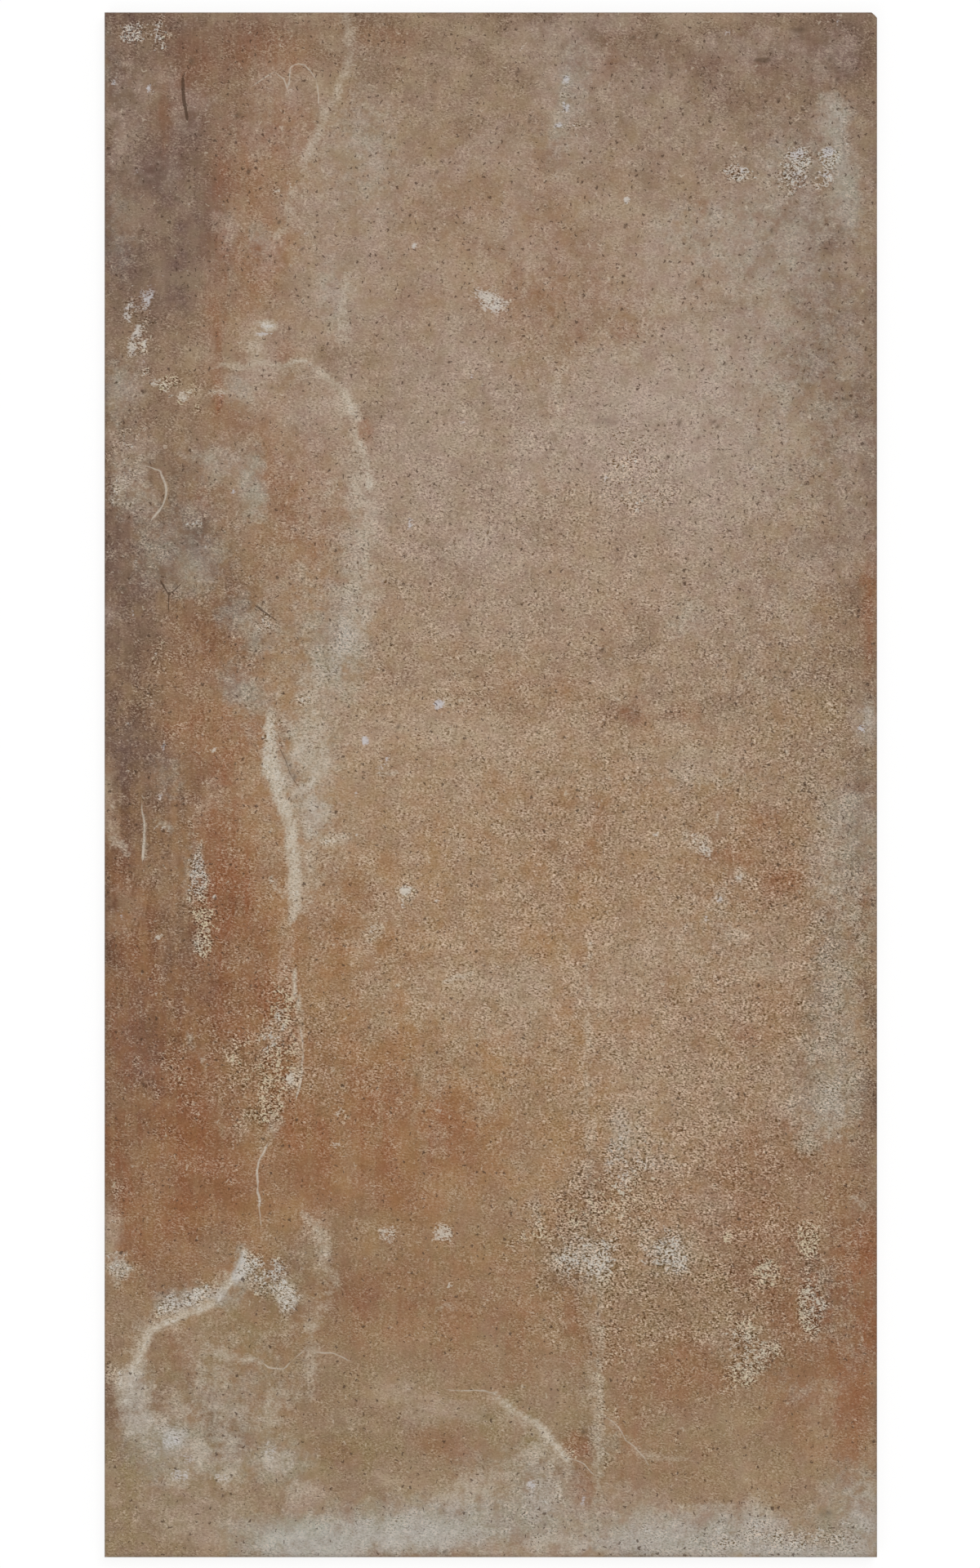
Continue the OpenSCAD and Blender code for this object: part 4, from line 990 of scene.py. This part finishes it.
class Wire:
    """One output of a shader node. Sums written with it become Math nodes."""

    def __init__(self, finish, socket):
        self.finish, self.socket = finish, socket

    def sum(self, operation, first, second=0.0):
        return self.finish.node("ShaderNodeMath", {"operation": operation}, {0: first, 1: second})

    def __add__(self, other):
        return self.sum("ADD", self, other)

    def __radd__(self, other):
        return self.sum("ADD", other, self)

    def __sub__(self, other):
        return self.sum("SUBTRACT", self, other)

    def __rsub__(self, other):
        return self.sum("SUBTRACT", other, self)

    def __mul__(self, other):
        return self.sum("MULTIPLY", self, other)

    def __rmul__(self, other):
        return self.sum("MULTIPLY", other, self)

    def __or__(self, other):
        """Whichever of the two is larger."""
        return self.sum("MAXIMUM", self, other)

    def __abs__(self):
        return self.sum("ABSOLUTE", self)

    def beside(self, name):
        """Another output of the same node."""
        return Wire(self.finish, self.socket.node.outputs[name])

    def ramp(self, low, high, way="SMOOTHSTEP"):
        """0 below `low`, 1 above `high`, and an easy curve, or a LINEAR rise, between them."""
        return self.finish.node("ShaderNodeMapRange", {"interpolation_type": way},
                                {"Value": self, "From Min": low, "From Max": high})

    def line(self, low, high):
        """Thin curling lines, 1 where a cloudy noise passes its middle."""
        return (0.5 - abs(self - 0.5)).ramp(low, high)


class Finish:
    """The nodes of a material or the world. Patterns run over a plane, "2D", or through a body, "3D"."""

    def __init__(self, owner, patterns="3D"):
        owner.use_nodes = True
        self.owner, self.tree, self.patterns = owner, owner.node_tree, patterns
        self.tree.nodes.clear()

    def node(self, kind, settings=None, sockets=None, output=0):
        """A new node: its settings first, then the values or wires of its sockets."""
        made = self.tree.nodes.new(kind)
        for name, value in (settings or {}).items():
            setattr(made, name, value)
        for key, value in (sockets or {}).items():
            if isinstance(value, Wire):
                self.tree.links.new(value.socket, made.inputs[key])
            else:
                made.inputs[key].default_value = value
        return Wire(self, made.outputs[output]) if made.outputs else None

    def place(self, size, turn=0.0, shift=0.0):
        """Where we are on the piece, counted in lumps of size (x, y, z) millimetres, turned in degrees."""
        return self.node("ShaderNodeMapping", {"vector_type": "TEXTURE"}, {
            "Vector": self.node("ShaderNodeTexCoord", output="Object"),
            "Location": (shift * MM, shift * MM, shift * MM),
            "Rotation": (0, 0, math.radians(turn)),
            "Scale": tuple(s * MM for s in size),
        })

    def grain(self, size, turn=0.0, detail=2.0, rough=0.5, shift=0.0, curl=0.0):
        """Cloudy noise round 0.5, with lumps of size (x, y, z) millimetres."""
        return self.node("ShaderNodeTexNoise", {"noise_dimensions": self.patterns}, {
            "Vector": self.place(size, turn, shift), "Scale": 1.0, "Detail": detail, "Roughness": rough,
            "Distortion": curl})

    def specks(self, spacing, shift=0.0, uneven=0.0):
        """Scattered grains: how far the nearest is, in millimetres, and two random numbers for each."""
        place = self.place((spacing,) * 3, 0, shift)
        if uneven:
            push = self.node("ShaderNodeTexNoise", {"noise_dimensions": self.patterns},
                             {"Vector": place, "Scale": 2.2, "Detail": 0.0}, "Color")
            push = self.node("ShaderNodeVectorMath", {"operation": "MULTIPLY_ADD"},
                             {0: push, 1: (uneven,) * 3, 2: (-uneven / 2,) * 3})
            place = self.node("ShaderNodeVectorMath", {"operation": "ADD"}, {0: place, 1: push})
        away = self.node("ShaderNodeTexVoronoi", {"voronoi_dimensions": self.patterns},
                         {"Vector": place, "Scale": 1.0}, "Distance")
        chances = self.node("ShaderNodeSeparateColor", {}, {0: away.beside("Color")})
        return away * spacing, chances, chances.beside("Green")

    def coat(self, name):
        """How much of a painted coat lies here."""
        return self.node("ShaderNodeAttribute", {"attribute_name": name}, output="Fac")

    def rubbed(self, name, wear):
        """How much of a painted film is left once its thin places have rubbed through."""
        film = self.coat(name)
        return (film + 1.8 * (wear - 0.5)).ramp(0.0, 0.95, "LINEAR") * film.ramp(0.0, 0.15)

    def over(self, below, above, amount, how="MIX"):
        """One colour laid over another."""
        return self.node("ShaderNodeMix", {"data_type": "RGBA", "blend_type": how},
                         {0: amount, 6: below, 7: above}, output=2)

    def shade(self, tint, stain, amount):
        """A colour darkened by a clear stain, as by a glass of that colour."""
        return self.over(tint, stain, amount, "MULTIPLY")

    def brighten(self, tint, amount):
        """A colour times a number."""
        return self.node("ShaderNodeVectorMath", {"operation": "SCALE"}, {0: tint, "Scale": amount})

    def fire(self, tint, rough, height, depth):
        """Finishes the material: its colour, its roughness, and a relief `depth` millimetres high."""
        bump = self.node("ShaderNodeBump", {}, {"Strength": 1.0, "Distance": depth * MM, "Height": height})
        body = self.node("ShaderNodeBsdfPrincipled", {}, {
            "Base Color": tint, "Roughness": rough, "Normal": bump, "Specular IOR Level": 0.25})
        self.node("ShaderNodeOutputMaterial", {}, {"Surface": body})
        return self.owner


def noises(f):
    """The noises that break up every coat of the face, from its finest grain to the drift of its clay."""
    return SimpleNamespace(
        fine=f.grain((1.0, 0.55, 0.8), turn=-12, detail=1.0, rough=0.5, curl=0.4),
        small=f.grain((3.4, 3.0, 3.2), detail=3, rough=0.6),
        patchy=f.grain((7, 8, 7), detail=4, rough=0.65, shift=15),
        ragged=f.grain((11, 14, 11), detail=5, rough=0.65, shift=115),
        clouds=f.grain((26, 40, 28), detail=4, rough=0.6, shift=30),
        drift=f.grain((30, 11, 20), turn=-14, detail=4, rough=0.6, shift=55),
        hue=f.grain((12, 15, 12), detail=2, rough=0.5, shift=80),
        streak=f.grain((2.6, 46, 8), detail=3, rough=0.6, shift=60),
        brushed=f.grain((13, 3.4, 6), turn=3, detail=3, rough=0.6, shift=90),
    )


def fired_clay(f, n):
    """The clay itself, and what the kiln did to it: warm, brown, yellow, rusty and smoked ground."""
    hue = n.hue.ramp(0.36, 0.64)
    tint = f.over(colour("#A08772"), colour("#A88F75"), hue)
    tint = f.over(tint, colour("#7F644C"), (0.6 * n.drift + 0.4 * n.patchy).ramp(0.47, 0.64) * 0.65)
    tint = f.over(tint, colour("#BFAA93"), (0.5 * n.clouds + 0.5 * n.drift).ramp(0.48, 0.34) * 0.6)
    tint = f.over(tint, colour("#AE875F"), f.coat("tawny") * (0.75 + 0.5 * hue))
    brown = (0.4 * n.patchy + 0.3 * n.streak + 0.3 * n.clouds).ramp(0.38, 0.62)
    tint = f.over(tint, colour("#654836"), f.coat("umber") * (0.5 + 1.0 * brown))
    tint = f.over(tint, colour("#96805E"), f.coat("ochre") * (0.3 + 1.4 * n.ragged.ramp(0.36, 0.64)))
    rusty = (0.7 * n.clouds + 0.3 * n.streak).ramp(0.38, 0.62)
    tint = f.over(tint, colour("#985F3B"), f.coat("rust") * (0.5 + 0.9 * rusty))
    smoky = (0.7 * n.clouds + 0.3 * n.patchy).ramp(0.38, 0.62)
    return f.over(tint, colour("#6E564E"), f.coat("smoke") * (0.5 + 1.0 * smoky))


def dry_films(f, n, tint):
    """Pale bloom and grey ash, both rubbed thin, and a breath of pink and green over all of it."""
    bloom = f.over(colour("#B9A597"), colour("#BAA48D"), f.coat("tawny").ramp(0.15, 0.55))
    tint = f.over(tint, bloom, f.rubbed("bloom", 0.5 * n.ragged + 0.3 * n.patchy + 0.2 * n.small))
    tint = f.over(tint, colour("#AEACA1"), f.rubbed("ash", 0.3 * n.ragged + 0.4 * n.patchy + 0.3 * n.small))
    sheen = f.grain((8, 7, 7), detail=4, shift=150).ramp(0.38, 0.62)
    return f.shade(tint, f.over(colour("#FFF3F8"), colour("#F4FFEE"), sheen), 0.22)


def limewash(f, n, tint, lime):
    """Runs and films of lime with ragged edges, and fine cracks filled with it."""
    wash = f.over(colour("#CBBFAC"), colour("#C9C4BE"), f.coat("ash").ramp(0.1, 0.5))
    tint = f.over(tint, wash, lime)
    width = f.coat("hair_width")
    away = abs(f.coat("hair_offset")) + 0.5 * n.small + 0.3 * n.fine
    hair = (0.5 * width + 0.35 - away).ramp(-0.2, 0.2)
    return f.over(tint, colour("#D6CCBD"), hair * (0.42 + 0.3 * width))


def grit_bed(f, n, tint, crumbs):
    """The grain: pale grit and the dark gaps between it, strongest where the face is sandy or crumbly;
    painted shade deepens the gaps between crumbs.
    """
    curl = dict(detail=0.0, curl=0.6)
    pale_curls = f.grain((1.7, 1.2, 1.4), turn=-20, shift=40, **curl).line(0.42, 0.5)
    dark_curls = f.grain((1.7, 1.2, 1.4), turn=25, shift=70, **curl).line(0.42, 0.5)
    grain = 0.42 * (n.fine - 0.5) + 0.08 * (pale_curls - dark_curls)
    sandy = f.coat("sandy")
    coarse = (2.0 + 4.4 * sandy + 5.5 * crumbs) * (1 - 0.55 * f.coat("smoke"))
    bed = grain * coarse * (0.45 + 1.1 * (0.4 * n.patchy + 0.3 * n.small + 0.3 * n.ragged).ramp(0.36, 0.64))
    bed = bed + 0.2 * (n.small - 0.5) + 0.25 * (n.patchy - 0.5) + 0.1 * (n.ragged - 0.5)
    bed = bed + 0.35 * (n.drift - 0.5) + (0.1 + 0.45 * sandy) * (n.brushed - 0.5)
    tint = f.over(tint, colour("#E8CFB6"), bed)
    # the dark side of the grain, deepened where the face is crumbly as painted shade in the gaps between
    # crumbs
    return f.shade(tint, colour("#8E733F"), -1.35 * bed * (1 + 0.55 * crumbs))


def lime_grit(f, n, crumbs, curls):
    """Crumbs of lime: curly chips, small grains, lumps and shells."""
    chips = (n.fine + 0.3 * crumbs + 0.25 * (n.small - 0.5)).ramp(0.8, 0.9)
    away, chance, size = f.specks(1.5, uneven=0.9)
    grains = (0.2 + 0.32 * size - away).ramp(-0.06, 0.1) * (0.6 * crumbs - chance).ramp(-0.01, 0.12)
    away, chance, size = f.specks(2.9, shift=7, uneven=1.0)
    lumps = (0.3 + 0.5 * size - away).ramp(-0.1, 0.15) * (0.4 * crumbs - chance).ramp(-0.01, 0.12)
    shells = curls * n.small.ramp(0.42, 0.56) * crumbs.ramp(0.45, 0.85)
    bright = 0.5 + 0.5 * size
    return (chips * 0.6 + grains * bright + lumps * 0.8 + shells * 0.6).ramp(0.0, 1.0)


def pinholes(f):
    """Round pits, more of them where the face is pitted, and a few white specks."""
    away, chance, size = f.specks(2.6, shift=3, uneven=0.6)
    pit = (0.08 + 0.34 * size - away).ramp(-0.1, 0.1) * (chance + 0.8 * f.coat("pitted")).ramp(0.6, 0.7)
    away, chance, size = f.specks(4.1, shift=9, uneven=0.6)
    white = (0.2 + 0.35 * size - away).ramp(-0.1, 0.1) * chance.ramp(0.86, 0.92)
    return pit, white


def worn_face():
    """The face: fired clay under rust, smoke, bloom, limewash and crumbs, all broken up by the grain, with
    painted shade at its edge and between crumbs.
    """
    f = Finish(bpy.data.materials.new("worn_face"), "2D")
    n = noises(f)
    lime = f.rubbed("lime", 0.45 * n.patchy + 0.3 * n.small + 0.25 * n.fine)
    crumbs = (f.coat("crumbs") + 1.2 * (0.5 * n.small + 0.5 * n.patchy - 0.5)).ramp(0.05, 0.8)
    curls = f.grain((3.8, 3.2, 3.4), turn=30, detail=1, shift=130, curl=1.2).line(0.44, 0.49)
    ashen = (3 * (f.coat("smoke") + f.coat("bloom") + 2 * f.coat("ash"))).ramp(0.3, 1.2)

    tint = dry_films(f, n, fired_clay(f, n))
    tint = grit_bed(f, n, limewash(f, n, tint, lime), crumbs)
    grit = lime_grit(f, n, crumbs, curls)
    tint = f.over(tint, f.over(colour("#D9CBAC"), colour("#D6D1C8"), ashen), grit * 0.78)
    tint = f.over(tint, colour("#DDD5C9"), curls * lime.ramp(0.4, 0.85) * 0.6)
    flecks = f.coat("flecks")
    fleck = (flecks + 0.9 * (n.small - 0.5) + 1.1 * (n.fine - 0.5)).ramp(0.3, 0.65) * (0.35 + 0.5 * flecks)
    tint = f.over(tint, f.over(colour("#DCD3C5"), colour("#D2CED0"), ashen), fleck)

    pit, white = pinholes(f)
    scar = (f.coat("scars") + 0.6 * n.fine + 0.5 * n.small - 0.55).ramp(0.1, 0.6)
    cut = (0.5 * f.coat("cut_width") + 0.12 - abs(f.coat("cut_offset")) - 0.25 * n.small).ramp(-0.1, 0.15)
    # painted edge shade along the face's edge, broken up by noise
    rim = f.coat("rim") * (0.5 * n.small + 0.5 * n.patchy).ramp(0.35, 0.65)
    tint = f.over(tint, colour("#DCCDB8"), white * 0.4)
    tint = f.over(tint, colour("#4A3526"), pit * 0.75)
    tint = f.over(tint, colour("#54402F"), scar * 0.65)
    tint = f.over(tint, colour("#45301F"), cut * 0.75)
    # painted edge shade: a dark brown line round the face
    tint = f.over(tint, colour("#5C4535"), rim * 0.5)
    return f.fire(tint, 0.86 - 0.1 * lime, 0.5 * n.fine + 0.3 * grit - 0.7 * pit - 0.5 * scar, 0.12)


def fired_body():
    """The bare sides and back: speckled clay with pores, and a pale wash on what touched the kiln."""
    f = Finish(bpy.data.materials.new("fired_body"))
    fine = f.grain((0.9, 0.9, 0.9), detail=3, rough=0.6)
    blotch = f.grain((14, 14, 6), detail=3, shift=20)
    tint = f.over(colour("#8C6B54"), colour("#A38469"), blotch.ramp(0.35, 0.65))
    tint = f.brighten(tint, 0.78 + 0.44 * fine)
    away, chance, size = f.specks(2.4)
    pore = (0.2 + 0.2 * size - away).ramp(-0.1, 0.1) * chance.ramp(0.6, 0.66)
    tint = f.over(tint, colour("#4A3A30"), pore * 0.7)
    here = f.node("ShaderNodeTexCoord", output="Object")
    height = f.node("ShaderNodeSeparateXYZ", {}, {0: here}, output="Z")
    wash = (WASH_HEIGHT * MM - height).ramp(0, 0.3 * MM) * (fine + 0.4 * blotch).ramp(0.5, 0.85)
    tint = f.over(tint, colour("#C9BFB0"), wash * 0.6)
    return f.fire(tint, 0.9, fine - pore, 0.15)


# ---------------------------------------------------------------- floor, light and camera

def make_floor():
    """A large pale floor. Seen straight on it reads as white paper, and it still holds the tile's shadow.

    It is open under the tile, just inside the bed, so that the ribbed back can be looked at from below.
    """
    mesh = bmesh.new()
    inside = 2 * HEEL_WIDTH + 0.2
    under = grid(mesh, (1, 1), WIDTH - inside, LENGTH - inside, 0)
    opening = under[0].link_faces[:]
    edge_ring(mesh, mesh.edges[:], FLOOR_REACH, 0)
    bmesh.ops.delete(mesh, geom=opening, context="FACES")
    data = bpy.data.meshes.new("floor")
    mesh.to_mesh(data)
    mesh.free()
    f = Finish(bpy.data.materials.new("floor_paper"))
    matt = f.node("ShaderNodeBsdfDiffuse", {}, {"Color": (0.85, 0.85, 0.85, 1)})
    paper = f.node("ShaderNodeEmission", {}, {"Color": (1, 1, 1, 1), "Strength": 1.08})
    seen = f.node("ShaderNodeLightPath", output="Is Camera Ray")
    both = f.node("ShaderNodeMixShader", {}, {0: seen * 0.8, 1: matt, 2: paper})
    f.node("ShaderNodeOutputMaterial", {}, {"Surface": both})
    data.materials.append(f.owner)
    show("floor", data)


def light_room():
    """Even white light from all round, a soft key from the upper left and a fill across from it."""
    world = bpy.data.worlds.new("studio")
    bpy.context.scene.world = world
    f = Finish(world)
    rays = f.node("ShaderNodeLightPath", output="Is Camera Ray")
    seen = rays | rays.beside("Is Glossy Ray") | rays.beside("Is Transmission Ray")
    walls = f.node("ShaderNodeBackground", {}, {"Color": (0.8, 0.8, 0.8, 1), "Strength": 0.5 + 0.5 * seen})
    f.node("ShaderNodeOutputWorld", {}, {"Surface": walls})
    for name, strength, tilt, turn in (("key", 1.1, 28, 150), ("fill", 0.5, 30, -30)):
        lamp = bpy.data.lights.new(name, "SUN")
        lamp.energy = strength
        lamp.angle = math.radians(30)
        show(name, lamp).rotation_euler = (math.radians(tilt), 0, math.radians(turn))


def set_camera():
    """Straight above the tile, far enough away to see it almost without perspective."""
    lens = bpy.data.cameras.new("camera")
    lens.sensor_width = 36
    lens.lens = lens.sensor_width * CAMERA_DISTANCE / (SEEN_LENGTH * MM)
    camera = show("camera", lens)
    camera.location = (*(a * MM for a in AIM), THICKNESS * MM + CAMERA_DISTANCE)
    bpy.context.scene.camera = camera


tile = make_tile()
tile.data.materials.append(worn_face())
tile.data.materials.append(fired_body())
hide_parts("tile")
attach(tile, "root")
make_floor()
light_room()
set_camera()
bpy.context.scene.view_settings.view_transform = "Standard"
